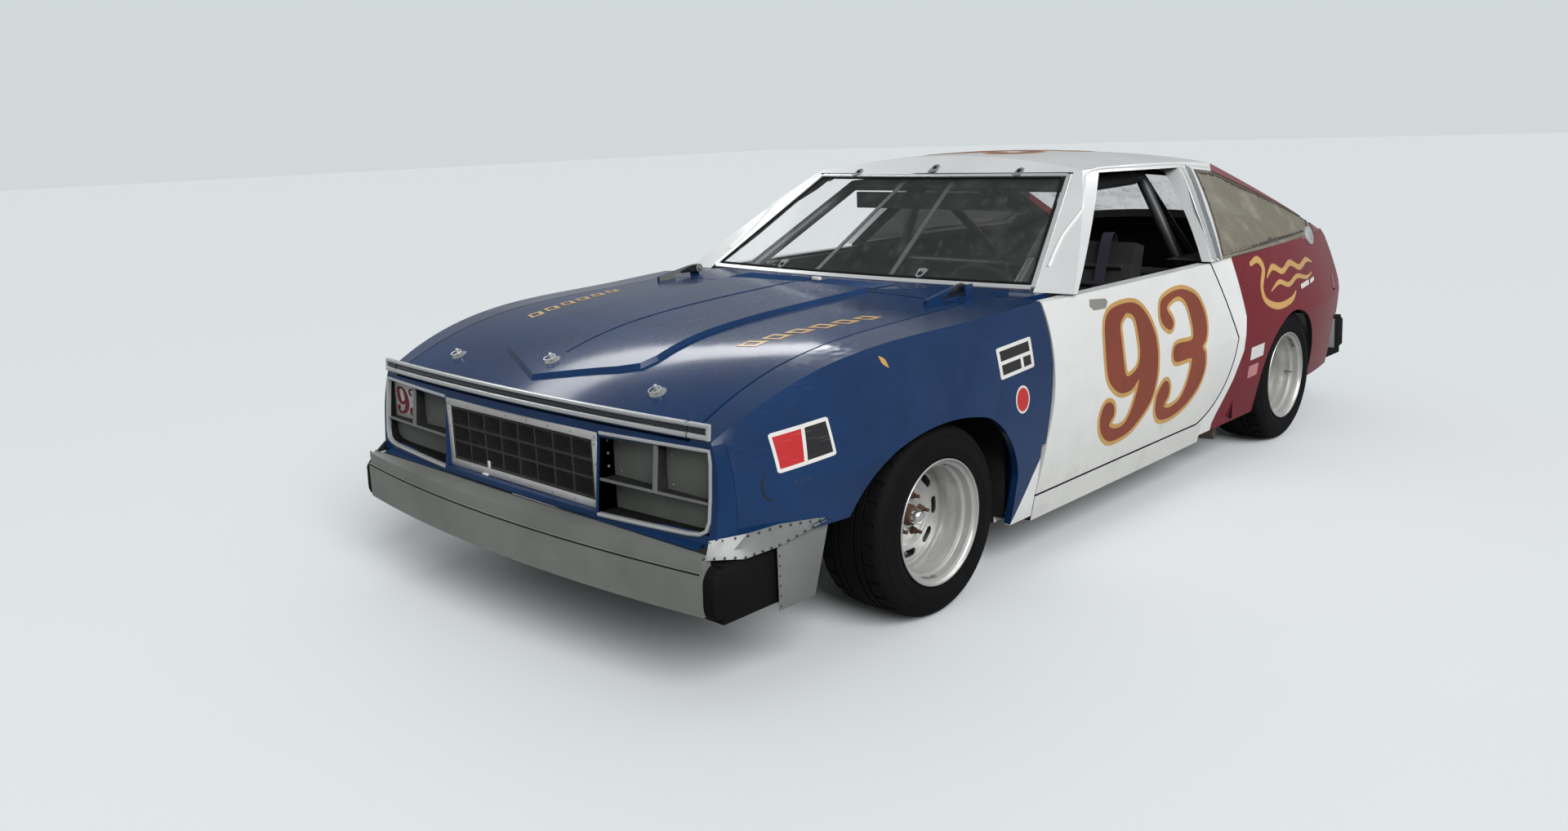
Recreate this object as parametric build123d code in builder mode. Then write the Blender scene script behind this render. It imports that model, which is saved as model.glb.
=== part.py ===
"""Short-track race car built from a small liftback of the late 1970s.

Frame: X forward, Y to the car's left, Z up, the ground at zero, millimetres.
The origin is on the ground under the middle of the bounding box.
"""
from build123d import *
import math
import os

os.makedirs("parts", exist_ok=True)

# overall sizes
WHEELBASE = 2438
FRONT_OVERHANG = 885
REAR_OVERHANG = 947
OVERALL_LENGTH = FRONT_OVERHANG + WHEELBASE + REAR_OVERHANG
FRONT_AXLE_X = OVERALL_LENGTH / 2 - FRONT_OVERHANG
REAR_AXLE_X = FRONT_AXLE_X - WHEELBASE
FRONT_END_X = OVERALL_LENGTH / 2
REAR_END_X = -OVERALL_LENGTH / 2
BELT_Z = 836
SKIN = 20
REACH = 3000

# lower body, one row per station along the car
# x, sill z, sill half width, waist z, waist half width, crease z, crease half width, crown z
LOWER_STATIONS = (
    (2120, 140, 730, 500, 768, 590, 738, 628),
    (1996, 140, 772, 505, 802, 652, 769, 694),
    (1880, 140, 800, 510, 842, 708, 790, 742),
    (1700, 140, 824, 515, 876, 768, 810, 792),
    (1450, 140, 842, 520, 898, 806, 828, 824),
    (1100, 140, 850, 520, 905, 818, 848, 842),
    (700, 140, 852, 520, 900, 834, 868, 854),
    (-450, 145, 854, 520, 902, 848, 872, 864),
    (-1150, 155, 856, 525, 915, 850, 850, 868),
    (-1600, 165, 836, 535, 886, 850, 796, 866),
    (-1850, 185, 806, 545, 842, 846, 752, 860),
    (-2040, 205, 776, 555, 800, 832, 716, 846),
)
SIDE_BULGE = 9
SHOULDER_BULGE = 8

# nose: a bowed and leaning front face
NOSE_X = FRONT_END_X - 106
NOSE_Z = 654
NOSE_LEAN = 0.103
NOSE_RADIUS = 8976
NOSE_BOTTOM_Z = 400
NOSE_TOP_Z = 645
NOSE_BACK_X = 1965

# tail silhouette, x and z from the deck down
TAIL_LINE = ((-1862, 900), (-1862, 838), (-1905, 800), (-1984, 588), (-1905, 421), (-1900, 100))
TAIL_SPLIT_X = -1840
TAIL_BOTTOM_Z = 441

# greenhouse, one row per station
# x, half width at the belt, half width at the roof edge, roof edge z, crown z
UPPER_STATIONS = (
    (760, 880, 640, 1184, 1236),
    (100, 880, 622, 1192, 1244),
    (-350, 880, 618, 1198, 1255),
    (-1000, 862, 600, 1176, 1226),
    (-1500, 812, 580, 1150, 1200),
    (-1900, 752, 560, 1130, 1180),
)
UPPER_BASE_Z = 780
UPPER_BULGE = 16
SCREEN_X = 625
SCREEN_Z = 833
SCREEN_LEAN = 1.505
SCREEN_RADIUS = 6000
HATCH_TOP = (-1000, 1214)
HATCH_FOOT = (-1850, 880)
HATCH_RADIUS = 4825
UPPER_WALL = 35
GLASS_INSET = 3
GLASS = 7

# openings seen from the side, x and z
DOOR_WINDOW = ((560, 760), (530, 838), (-42, 1182), (-664, 1170), (-420, 838), (-380, 760))
QUARTER_WINDOW = ((-470, 760), (-522, 838), (-790, 1158), (-965, 1140), (-1690, 882), (-1640, 760))
# windshield seen from the front, y and z
SCREEN_OPENING = ((-790, 760), (-752, 838), (-592, 1188), (592, 1188), (752, 838), (790, 760))
# hatch seen from above, x and y
HATCH_OPENING = ((-1056, -556), (-1056, 556), (-1812, 612), (-1812, -612))
HATCH_LIGHT = ((-1120, -500), (-1120, 500), (-1750, 552), (-1750, -552))

# doors, x and z of the outline
DOOR_FRONT = ((710, 828), (675, 640), (707, 408), (738, 229))
DOOR_REAR = ((-372, 229), (-556, 335), (-642, 520), (-437, 828))
DOOR_INNER_Y = 830
DOOR_SKIN = 25
DOOR_HEM = 16
PANEL_GAP = 8
DOOR_HINGE = (652, 862)
DOOR_HINGE_Z = (420, 640)
DOOR_HINGE_HEIGHT = 44
PIN_RADIUS = 5

# bonnet
HOOD_REAR_X = 880
HOOD_HALF_WIDTH = 694
HOOD_LIP_Z = 651
HOOD_HINGE = (764, 620, 864)

# wheels
TYRE_RADIUS = 278
TYRE_WIDTH = 235
WHEEL_OUTER_Y = 887
RIM_LIP_RADIUS = 180
RIM_BARREL_RADIUS = 164
DISC_Y = 765
KINGPIN_Y = 690
HUB_RADIUS = 30
TYRE_GAP = 0.8
PIN_GAP = 0.3
MOVE_GAP = 6

# wheel openings: x from the axle and z of the front outline from its rear foot forward, then the rear circle
FRONT_ARCH = ((-390, 60), (-390, 320), (-332, 442), (-208, 541), (0, 566), (210, 530), (338, 442), (408, 320),
              (408, 60))
REAR_ARCH_X = REAR_AXLE_X - 8
REAR_ARCH_Z = 262
REAR_ARCH_RADIUS = 294

# frame members
FLOOR_Z = 170
FLOOR_THICKNESS = 20
FIREWALL_X = 850
RAIL_Y = (400, 460)
FRONT_RAIL_Z = (260, 340)
REAR_RAIL_Z = (360, 440)
POST_Y = (700, 770)
QUARTER_POST_Y = (740, 822)
DASH_WALL_HALF_WIDTH = 822
SEAT_BOLTS = (-60, -400)
SEAT_BOLT_SPACING = (300, 330)
SEAT_BOLT_RADIUS = 5
TUBE_RADIUS = 21


def block(x, y, z):
    """Return a box between the two ends given for each axis."""
    with BuildPart() as solid:
        with Locations(((x[0] + x[1]) / 2, (y[0] + y[1]) / 2, (z[0] + z[1]) / 2)):
            Box(abs(x[1] - x[0]), abs(y[1] - y[0]), abs(z[1] - z[0]))
    return solid.part


def pair(x, y, z):
    """Return the box and its mirror image on the car's right."""
    with BuildPart() as solid:
        add(block(x, y, z))
        mirror(about=Plane.XZ)
    return solid.part


def side_prism(points, y=(-REACH, REACH)):
    """Return a prism along Y of an outline given in x and z."""
    with BuildPart() as solid:
        with BuildSketch(Plane(origin=(0, y[1], 0), x_dir=(1, 0, 0), z_dir=(0, -1, 0))):
            Polygon(*points, align=None)
        extrude(amount=y[1] - y[0])
    return solid.part


def front_prism(points, x):
    """Return a prism along X of an outline given in y and z."""
    with BuildPart() as solid:
        with BuildSketch(Plane(origin=(x[0], 0, 0), x_dir=(0, 1, 0), z_dir=(1, 0, 0))):
            Polygon(*points, align=None)
        extrude(amount=x[1] - x[0])
    return solid.part


def top_prism(points, z):
    """Return a prism along Z of an outline given in x and y."""
    with BuildPart() as solid:
        with BuildSketch(Plane.XY.offset(z[0])):
            Polygon(*points, align=None)
        extrude(amount=z[1] - z[0])
    return solid.part


def rod(start, end, radius):
    """Return a round bar between two points."""
    a = Vector(*start)
    run = Vector(*end) - a
    with BuildPart() as solid:
        with BuildSketch(Plane(origin=a, z_dir=run)):
            Circle(radius)
        extrude(amount=run.length)
    return solid.part


def tube_run(points, radius):
    """Return bars through a row of points with a ball at each inner corner."""
    with BuildPart() as solid:
        for a, b in zip(points, points[1:]):
            add(rod(a, b, radius))
        for p in points[1:-1]:
            with Locations(p):
                Sphere(radius)
    return solid.part


def bowed_solid(low_z, low_x, high_z, high_x, radius):
    """Return everything behind an upright arc that shifts along X with height."""
    half = 1000
    sag = radius - math.sqrt(radius**2 - half**2)
    faces = []
    for z, x in ((low_z, low_x), (high_z, high_x)):
        with BuildSketch(Plane.XY.offset(z)) as face:
            with BuildLine():
                ThreePointArc((x - sag, -half), (x, 0), (x - sag, half))
                Polyline((x - sag, half), (-REACH, half), (-REACH, -half), (x - sag, -half))
            make_face()
        faces.append(face.sketch)
    with BuildPart() as solid:
        loft(sections=faces, ruled=True)
    return solid.part


def lower_section(row, inset):
    """Return one closed cross-section of the lower body."""
    x, zb, yb, zw, yw, zc, yc, zt = row
    yb, yw, yc = yb - inset, yw - inset, yc - inset
    zb, zc, zt = zb + inset, zc - inset, zt - inset
    with BuildSketch(Plane(origin=(x, 0, 0), x_dir=(0, 1, 0), z_dir=(1, 0, 0))) as face:
        with BuildLine():
            Line((-yb, zb), (yb, zb))
            for s in (1, -1):
                ThreePointArc((s * yb, zb), (s * ((yb + yw) / 2 + SIDE_BULGE), (zb + zw) / 2), (s * yw, zw))
                ThreePointArc((s * yw, zw), (s * ((yw + yc) / 2 + SHOULDER_BULGE), (zw + zc) / 2), (s * yc, zc))
            ThreePointArc((yc, zc), (0, zt), (-yc, zc))
        make_face()
    return face.sketch


def lower_body(inset):
    """Return the solid lower body, drawn in by a distance."""
    nose = NOSE_X - inset
    with BuildPart() as solid:
        loft(sections=[lower_section(row, inset) for row in LOWER_STATIONS])
        add(bowed_solid(100, nose + (NOSE_Z - 100) * NOSE_LEAN, 900, nose - (900 - NOSE_Z) * NOSE_LEAN, NOSE_RADIUS),
            mode=Mode.INTERSECT)
        tail = [(x + inset, z) for x, z in TAIL_LINE]
        add(side_prism([(REACH, 900)] + tail + [(REACH, 100)]), mode=Mode.INTERSECT)
    return solid.part


def upper_section(row, inset):
    """Return one closed cross-section of the greenhouse."""
    x, yb, yt, zt, crown = row
    yb, yt, zt, crown = yb - inset, yt - inset, zt - inset, crown - inset
    slope = (yb - yt) / (zt - BELT_Z)
    y0 = yb + slope * (BELT_Z - UPPER_BASE_Z)
    with BuildSketch(Plane(origin=(x, 0, 0), x_dir=(0, 1, 0), z_dir=(1, 0, 0))) as face:
        with BuildLine():
            Line((-y0, UPPER_BASE_Z), (y0, UPPER_BASE_Z))
            for s in (1, -1):
                ThreePointArc((s * y0, UPPER_BASE_Z), (s * ((y0 + yt) / 2 + UPPER_BULGE), (UPPER_BASE_Z + zt) / 2),
                              (s * yt, zt))
            ThreePointArc((yt, zt), (0, crown), (-yt, zt))
        make_face()
    return face.sketch


def screen_solid(inset):
    """Return everything behind the windshield surface."""
    x = SCREEN_X - inset * math.hypot(1, SCREEN_LEAN)
    return bowed_solid(700, x + (SCREEN_Z - 700) * SCREEN_LEAN, 1300, x - (1300 - SCREEN_Z) * SCREEN_LEAN,
                       SCREEN_RADIUS)


def hatch_solid(inset):
    """Return everything below the hatch surface."""
    half = 1000
    sag = HATCH_RADIUS - math.sqrt(HATCH_RADIUS**2 - half**2)
    run = Vector(HATCH_FOOT[0] - HATCH_TOP[0], 0, HATCH_FOOT[1] - HATCH_TOP[1])
    with BuildPart() as solid:
        with BuildSketch(Plane(origin=(HATCH_TOP[0], 0, HATCH_TOP[1]), x_dir=(0, 1, 0), z_dir=run)):
            with BuildLine():
                ThreePointArc((-half, sag + inset), (0, inset), (half, sag + inset))
                Polyline((half, sag + inset), (half, 1500), (-half, 1500), (-half, sag + inset))
            make_face()
        extrude(amount=2400, both=True)
    return solid.part


def upper_body(inset):
    """Return the solid greenhouse, drawn in by a distance."""
    with BuildPart() as solid:
        loft(sections=[upper_section(row, inset) for row in UPPER_STATIONS])
        add(screen_solid(inset), mode=Mode.INTERSECT)
        add(hatch_solid(inset), mode=Mode.INTERSECT)
        add(block((HATCH_FOOT[0] + inset, REACH), (-REACH, REACH), (BELT_Z, 1400)), mode=Mode.INTERSECT)
    return solid.part


def door_outline(offset_by):
    """Return a prism of the door's outline, grown by a distance, on the car's left."""
    with BuildPart() as solid:
        with BuildSketch(Plane(origin=(0, 1000, 0), x_dir=(1, 0, 0), z_dir=(0, -1, 0))):
            with BuildLine():
                ThreePointArc(*DOOR_FRONT[:3])
                Polyline(DOOR_FRONT[2], DOOR_FRONT[3], DOOR_REAR[0])
                ThreePointArc(*DOOR_REAR[:3])
                Polyline(DOOR_REAR[2], DOOR_REAR[3], DOOR_FRONT[0])
            make_face()
            if offset_by:
                offset(amount=offset_by)
        extrude(amount=300)
    return solid.part


def front_arch():
    """Return the cutter of the front wheel openings."""
    line = [(FRONT_AXLE_X + x, z) for x, z in FRONT_ARCH]
    with BuildPart() as solid:
        with BuildSketch(Plane(origin=(0, REACH, 0), x_dir=(1, 0, 0), z_dir=(0, -1, 0))):
            with BuildLine():
                Polyline(line[1], line[0], line[-1], line[-2])
                for i in (1, 3, 5):
                    ThreePointArc(*line[i:i + 3])
            make_face()
        extrude(amount=2 * REACH)
    return solid.part


def rear_arch():
    """Return the cutter of the rear wheel openings."""
    with BuildPart() as solid:
        with BuildSketch(Plane(origin=(0, REACH, 0), x_dir=(1, 0, 0), z_dir=(0, -1, 0))):
            with Locations((REAR_ARCH_X, REAR_ARCH_Z)):
                Circle(REAR_ARCH_RADIUS)
            with Locations((REAR_ARCH_X, REAR_ARCH_Z / 2)):
                Rectangle(2 * REAR_ARCH_RADIUS, REAR_ARCH_Z)
        extrude(amount=2 * REACH)
    return solid.part


lower_outer = lower_body(0)
lower_inner = lower_body(SKIN)
with BuildPart() as shell:
    add(lower_outer)
    add(lower_inner, mode=Mode.SUBTRACT)
    add(block((-REACH, REACH), (-REACH, REACH), (0, BELT_Z)), mode=Mode.INTERSECT)
opening = door_outline(PANEL_GAP)
arches = front_arch()
rear_arches = rear_arch()

# Floor, tunnel and rockers
ROCKER_TOP_Z = 222
ROCKER_X = (-425, 740)
ROCKER_INNER_Y = 780
REAR_FLOOR_X = -800
CABIN_X = (REAR_FLOOR_X, FIREWALL_X)
FLOOR_HALF_WIDTH = 790
TUNNEL_HALF_WIDTH = 110
TUNNEL_TOP_Z = FLOOR_Z + 110
TUNNEL_WALL = 15
with BuildPart() as floor_pan:
    add(lower_outer)
    add(pair(ROCKER_X, (ROCKER_INNER_Y, REACH), (0, FLOOR_Z))
        + pair(ROCKER_X, (DASH_WALL_HALF_WIDTH + 2, REACH), (0, ROCKER_TOP_Z)), mode=Mode.INTERSECT)
    add(block(CABIN_X, (-FLOOR_HALF_WIDTH, FLOOR_HALF_WIDTH), (FLOOR_Z - FLOOR_THICKNESS, FLOOR_Z)))
    add(block(CABIN_X, (-TUNNEL_HALF_WIDTH, TUNNEL_HALF_WIDTH), (FLOOR_Z, TUNNEL_TOP_Z)))
    add(block(CABIN_X, (TUNNEL_WALL - TUNNEL_HALF_WIDTH, TUNNEL_HALF_WIDTH - TUNNEL_WALL),
              (0, TUNNEL_TOP_Z - TUNNEL_WALL)), mode=Mode.SUBTRACT)
    with Locations((*SEAT_BOLTS, FLOOR_Z)):
        with GridLocations(*SEAT_BOLT_SPACING, 2, 2):
            Hole(SEAT_BOLT_RADIUS)
floor_pan.part.label = "floor_pan"
export_step(floor_pan.part, "parts/floor_pan.step")

# Firewall with the notch over the tunnel
FIREWALL_INNER_X = FIREWALL_X - 15
FIREWALL_TOP_Z = 800
TUNNEL_NOTCH = 2
with BuildPart() as firewall:
    add(block((FIREWALL_INNER_X, FIREWALL_X), (-DASH_WALL_HALF_WIDTH, DASH_WALL_HALF_WIDTH),
              (FLOOR_Z, FIREWALL_TOP_Z)))
    add(block((0, REACH), (-TUNNEL_HALF_WIDTH - TUNNEL_NOTCH, TUNNEL_HALF_WIDTH + TUNNEL_NOTCH),
              (0, TUNNEL_TOP_Z + TUNNEL_NOTCH)), mode=Mode.SUBTRACT)
firewall.part.label = "firewall"
export_step(firewall.part, "parts/firewall.step")

# Front rails, radiator, its struts to the nose and the plates beside it
SHELF_THICKNESS = 8
FRONT_RAIL_END_X = FRONT_END_X - 90
RADIATOR_X = (1830, 1885)
RADIATOR_TOP_Z = 640
NOSE_STRUT_Y = (440, 460)
SIDE_BAFFLE = 15
SIDE_BAFFLE_Y = 765
SIDE_BAFFLE_TOP_Z = 600
with BuildPart() as front_structure:
    add(pair((FIREWALL_X, FRONT_RAIL_END_X), RAIL_Y, FRONT_RAIL_Z))
    add(block(RADIATOR_X, (-RAIL_Y[1], RAIL_Y[1]), (FRONT_RAIL_Z[1], RADIATOR_TOP_Z)))
    add(pair((RADIATOR_X[1] - SIDE_BAFFLE, NOSE_BACK_X + 10), NOSE_STRUT_Y,
             (FRONT_RAIL_Z[1], NOSE_BOTTOM_Z - SHELF_THICKNESS)))
    add(pair((RADIATOR_X[0], RADIATOR_X[0] + SIDE_BAFFLE), (RAIL_Y[1], SIDE_BAFFLE_Y),
             (FRONT_RAIL_Z[1], SIDE_BAFFLE_TOP_Z)))
front_structure.part.label = "front_structure"
export_step(front_structure.part, "parts/front_structure.step")

# nose panel round the grille and the lamp recesses
GRILLE_HALF_WIDTH = 366
GRILLE_Z = (415, 623)
LAMP_OUTLINE = ((372, 412), (372, 612), (766, 629), (774, 520), (772, 426))
LAMP_CORNER = 34
NOSE_LEDGE = 30
NOSE_LEDGE_HALF_WIDTH = 760
NOSE_SHELF_HALF_WIDTH = 745
with BuildSketch(Plane.YZ) as lamp_face:
    Polygon(*LAMP_OUTLINE, align=None)
    fillet(lamp_face.vertices().sort_by(Axis.Y)[-3:].sort_by(Axis.Z)[:1], LAMP_CORNER)
with BuildPart() as nose_full:
    add(shell.part)
    add(block((NOSE_BACK_X, REACH), (-REACH, REACH), (NOSE_BOTTOM_Z, NOSE_TOP_Z)), mode=Mode.INTERSECT)
    add(front_prism(((-GRILLE_HALF_WIDTH, GRILLE_Z[0]), (GRILLE_HALF_WIDTH, GRILLE_Z[0]),
                     (GRILLE_HALF_WIDTH, GRILLE_Z[1]), (-GRILLE_HALF_WIDTH, GRILLE_Z[1])), (1900, REACH)),
        mode=Mode.SUBTRACT)
    add(block((NOSE_BACK_X, NOSE_BACK_X + NOSE_LEDGE), (-NOSE_LEDGE_HALF_WIDTH, NOSE_LEDGE_HALF_WIDTH),
              (NOSE_TOP_Z - 12, NOSE_TOP_Z)))
    add(block((NOSE_BACK_X, FRONT_RAIL_END_X), (-NOSE_SHELF_HALF_WIDTH, NOSE_SHELF_HALF_WIDTH),
              (NOSE_BOTTOM_Z - SHELF_THICKNESS, NOSE_BOTTOM_Z)))

# Grille, an egg crate in a flat frame
GRILLE_COLUMNS = 8
GRILLE_ROWS = 3
GRILLE_RIM = 30
GRILLE_BAR = 7
GRILLE_X = (1998, 2026)
with BuildPart() as grille:
    width = 2 * (GRILLE_HALF_WIDTH - GRILLE_RIM)
    height = GRILLE_Z[1] - GRILLE_Z[0] - 2 * GRILLE_RIM
    add(block(GRILLE_X, (-GRILLE_HALF_WIDTH, GRILLE_HALF_WIDTH), GRILLE_Z))
    add(block((1900, REACH), (-width / 2, width / 2), (GRILLE_Z[0] + GRILLE_RIM, GRILLE_Z[1] - GRILLE_RIM)),
        mode=Mode.SUBTRACT)
    for i in range(1, GRILLE_COLUMNS):
        y = -width / 2 + i * width / GRILLE_COLUMNS
        add(block(GRILLE_X, (y - GRILLE_BAR / 2, y + GRILLE_BAR / 2),
                  (GRILLE_Z[0] + GRILLE_BAR, GRILLE_Z[1] - GRILLE_BAR)))
    for i in range(1, GRILLE_ROWS):
        z = GRILLE_Z[0] + GRILLE_RIM + i * height / GRILLE_ROWS
        add(block(GRILLE_X, (GRILLE_BAR - GRILLE_HALF_WIDTH, GRILLE_HALF_WIDTH - GRILLE_BAR),
                  (z - GRILLE_BAR / 2, z + GRILLE_BAR / 2)))
grille.part.label = "grille"
export_step(grille.part, "parts/grille.step")

# Recessed boxes where the headlamps were, with a post and a shelf
LAMP_DEPTH_X = 1928
LAMP_WALL = 6
LAMP_POST_Y = (577, 587)
LAMP_POST_TOP_Z = 616
LAMP_SHELF_Y = (374, 769)
LAMP_SHELF_Z = (492, 500)
LAMP_FRONT_X = 2080
LAMP_INSET = 4
with BuildPart() as lamp_cutter:
    add(extrude(Pos(LAMP_DEPTH_X, 0, 0) * lamp_face.sketch, amount=LAMP_FRONT_X - LAMP_DEPTH_X))
    mirror(about=Plane.XZ)
with BuildPart() as lamp_boxes:
    add(extrude(Pos(LAMP_DEPTH_X - LAMP_WALL, 0, 0) * lamp_face.sketch, amount=LAMP_FRONT_X - LAMP_DEPTH_X))
    with BuildSketch(Plane.YZ.offset(LAMP_DEPTH_X)):
        add(lamp_face.sketch)
        offset(amount=-LAMP_WALL)
    extrude(amount=LAMP_FRONT_X - LAMP_DEPTH_X, mode=Mode.SUBTRACT)
    add(block((LAMP_DEPTH_X - 2, LAMP_FRONT_X), LAMP_POST_Y, (LAMP_SHELF_Z[0], LAMP_POST_TOP_Z)))
    add(block((LAMP_DEPTH_X - 2, LAMP_FRONT_X), LAMP_SHELF_Y, LAMP_SHELF_Z))
    add(lower_body(LAMP_INSET), mode=Mode.INTERSECT)
    mirror(about=Plane.XZ)
with BuildPart() as nose_panel:
    add(nose_full.part)
    add(lamp_cutter.part, mode=Mode.SUBTRACT)
nose_panel.part.label = "nose_panel"
export_step(nose_panel.part, "parts/nose_panel.step")
lamp_boxes.part.label = "lamp_boxes"
export_step(lamp_boxes.part, "parts/lamp_boxes.step")

# Front fenders
FENDER_INNER_Y = 701
FENDER_LOWER_Z = 392
FENDER_BOTTOM_Z = 158
FENDER_FOOT_X = FRONT_AXLE_X + 300
FENDER_INSIDE = ((700, 800), (835, 190))
DOOR_FRONT_REACH = ((150, 92), (229, 92), (408, 70), (520, 60.5), (640, 46.5), (750, 46), (836, 64))
with BuildPart() as door_relief:
    with BuildSketch(Plane(origin=(*DOOR_HINGE, 0), x_dir=(1, 0, 0), z_dir=(0, -1, 0))):
        Polygon((0, DOOR_FRONT_REACH[0][0]), *[(r, z) for z, r in DOOR_FRONT_REACH], (0, DOOR_FRONT_REACH[-1][0]),
                align=None)
    revolve(axis=Axis((*DOOR_HINGE, 0), (0, 0, 1)))
with BuildPart() as fender_left:
    add(shell.part)
    add(block((ROCKER_X[1] - 100, REACH), (FENDER_INNER_Y, 1000), (FENDER_BOTTOM_Z, BELT_Z)), mode=Mode.INTERSECT)
    add(opening, mode=Mode.SUBTRACT)
    add(arches, mode=Mode.SUBTRACT)
    add(block((NOSE_BACK_X - 1, REACH), (0, 1000), (0, NOSE_TOP_Z)), mode=Mode.SUBTRACT)
    add(block((FENDER_FOOT_X, REACH), (0, 1000), (0, FENDER_LOWER_Z)), mode=Mode.SUBTRACT)
    add(block((0, ROCKER_X[1]), (0, 1000), (0, FENDER_LOWER_Z)), mode=Mode.SUBTRACT)
    add(block((0, FENDER_INSIDE[0][0]), (0, FENDER_INSIDE[0][1]), (0, REACH)), mode=Mode.SUBTRACT)
    add(block((0, REACH), (0, FENDER_INSIDE[1][0]), (0, FENDER_INSIDE[1][1])), mode=Mode.SUBTRACT)
    add(door_relief.part, mode=Mode.SUBTRACT)
fender_left.part.label = "fender_left"
export_step(fender_left.part, "parts/fender_left.step")
with BuildPart() as fender_right:
    add(mirror(fender_left.part, about=Plane.XZ))
fender_right.part.label = "fender_right"
export_step(fender_right.part, "parts/fender_right.step")

# Cowl with the posts that carry the doors
COWL_HALF_WIDTH = 795


def door_hinge_arm(z):
    """Return the arm from the left post to the door's pin."""
    x, y = DOOR_HINGE
    with BuildPart() as arm:
        with BuildSketch(Plane.XY.offset(z - DOOR_HINGE_HEIGHT / 2)):
            with Locations((x, y)):
                Circle(2 * PIN_RADIUS)
            with Locations((x, (y + POST_Y[1] - 10) / 2)):
                Rectangle(4 * PIN_RADIUS, y - POST_Y[1] + 10)
            with Locations((x, y)):
                Circle(PIN_RADIUS + PIN_GAP, mode=Mode.SUBTRACT)
        extrude(amount=DOOR_HINGE_HEIGHT)
    return arm.part


COWL_X = (560, HOOD_REAR_X - PANEL_GAP)
POST_X = (600, 700)
with BuildPart() as cowl_panel:
    add(lower_outer)
    add(lower_inner, mode=Mode.SUBTRACT)
    add(block(COWL_X, (-FENDER_INNER_Y, FENDER_INNER_Y), (780, BELT_Z + 12)), mode=Mode.INTERSECT)
    add(block((COWL_X[0], POST_X[1]), (-COWL_HALF_WIDTH, COWL_HALF_WIDTH), (BELT_Z - 30, BELT_Z)))
    add(pair(POST_X, POST_Y, (FLOOR_Z, BELT_Z)))
    add(pair((POST_X[1], FIREWALL_INNER_X), (POST_Y[1] - 22, POST_Y[1]), (FLOOR_Z, 560)))
    add(block((FIREWALL_INNER_X, FIREWALL_X), (-700, 700), (800, 822)))
    add(block((0, SCREEN_X + 8), (-1000, 1000), (BELT_Z, 1000)), mode=Mode.SUBTRACT)
    for z in DOOR_HINGE_Z:
        add(door_hinge_arm(z))
        add(mirror(door_hinge_arm(z), about=Plane.XZ))
    for side in (-1, 1):
        y = side * (HOOD_HINGE[1] + 18)
        add(block((HOOD_HINGE[0] - 20, HOOD_HINGE[0] + 20), (y - 4, y + 4), (825, HOOD_HINGE[2] + 12)))
        add(rod((HOOD_HINGE[0], side * (HOOD_HINGE[1] - 14), HOOD_HINGE[2]),
                (HOOD_HINGE[0], side * (HOOD_HINGE[1] + 20), HOOD_HINGE[2]), PIN_RADIUS))
cowl_panel.part.label = "cowl_panel"
export_step(cowl_panel.part, "parts/cowl_panel.step")

# Quarter panels with the posts behind the doors
QUARTER_POST_X = (-560, -470)
QUARTER_BOTTOM_Z = 216
QUARTER_SHELF_Y = 716
with BuildPart() as quarter_shelf:
    add(lower_outer)
    add(block((TAIL_SPLIT_X, QUARTER_POST_X[0]), (QUARTER_SHELF_Y, 1000), (BELT_Z - 14, BELT_Z)), mode=Mode.INTERSECT)
with BuildPart() as quarter_left:
    add(shell.part)
    add(block((TAIL_SPLIT_X, ROCKER_X[0] + 60), (0, 1000), (172, BELT_Z)), mode=Mode.INTERSECT)
    add(opening, mode=Mode.SUBTRACT)
    add(rear_arches, mode=Mode.SUBTRACT)
    add(quarter_shelf.part)
    add(block((-REACH, 0), (0, 700), (0, BELT_Z)), mode=Mode.SUBTRACT)
    add(block((-REACH, 0), (0, 800), (0, 300)), mode=Mode.SUBTRACT)
    add(block((-REACH, REAR_AXLE_X), (0, 1000), (0, QUARTER_BOTTOM_Z)), mode=Mode.SUBTRACT)
    add(block((ROCKER_X[0], 0), (0, 1000), (0, ROCKER_TOP_Z)), mode=Mode.SUBTRACT)
    add(block(QUARTER_POST_X, QUARTER_POST_Y, (FLOOR_Z, BELT_Z)))
    add(block((QUARTER_POST_X[0] - 120, QUARTER_POST_X[0]), QUARTER_POST_Y, (FLOOR_Z, 210)))
    add(block((QUARTER_POST_X[0] - 130, QUARTER_POST_X[0]), (QUARTER_POST_Y[0], 862), (BELT_Z - 25, BELT_Z)))
    add(block((QUARTER_POST_X[0] - 135, QUARTER_POST_X[0] - 115), (790, 880), (FLOOR_Z + 20, 420)))
quarter_left.part.label = "quarter_left"
export_step(quarter_left.part, "parts/quarter_left.step")
with BuildPart() as quarter_right:
    add(mirror(quarter_left.part, about=Plane.XZ))
quarter_right.part.label = "quarter_right"
export_step(quarter_right.part, "parts/quarter_right.step")

# Roof with its pillars
HATCH_HINGE = (-1059, 1196)
HINGE_LEAVES = ((222, 240 - PIN_GAP), (240, 276), (276 + PIN_GAP, 294))


def hatch_leaf(x, y):
    """Return one knuckle of a hatch hinge with its leaf."""
    with BuildPart() as leaf:
        add(block(x, y, (HATCH_HINGE[1] - 24, HATCH_HINGE[1] + 4)))
        add(rod((HATCH_HINGE[0], y[0], HATCH_HINGE[1]), (HATCH_HINGE[0], y[1], HATCH_HINGE[1]), 6))
    return leaf.part


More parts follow.
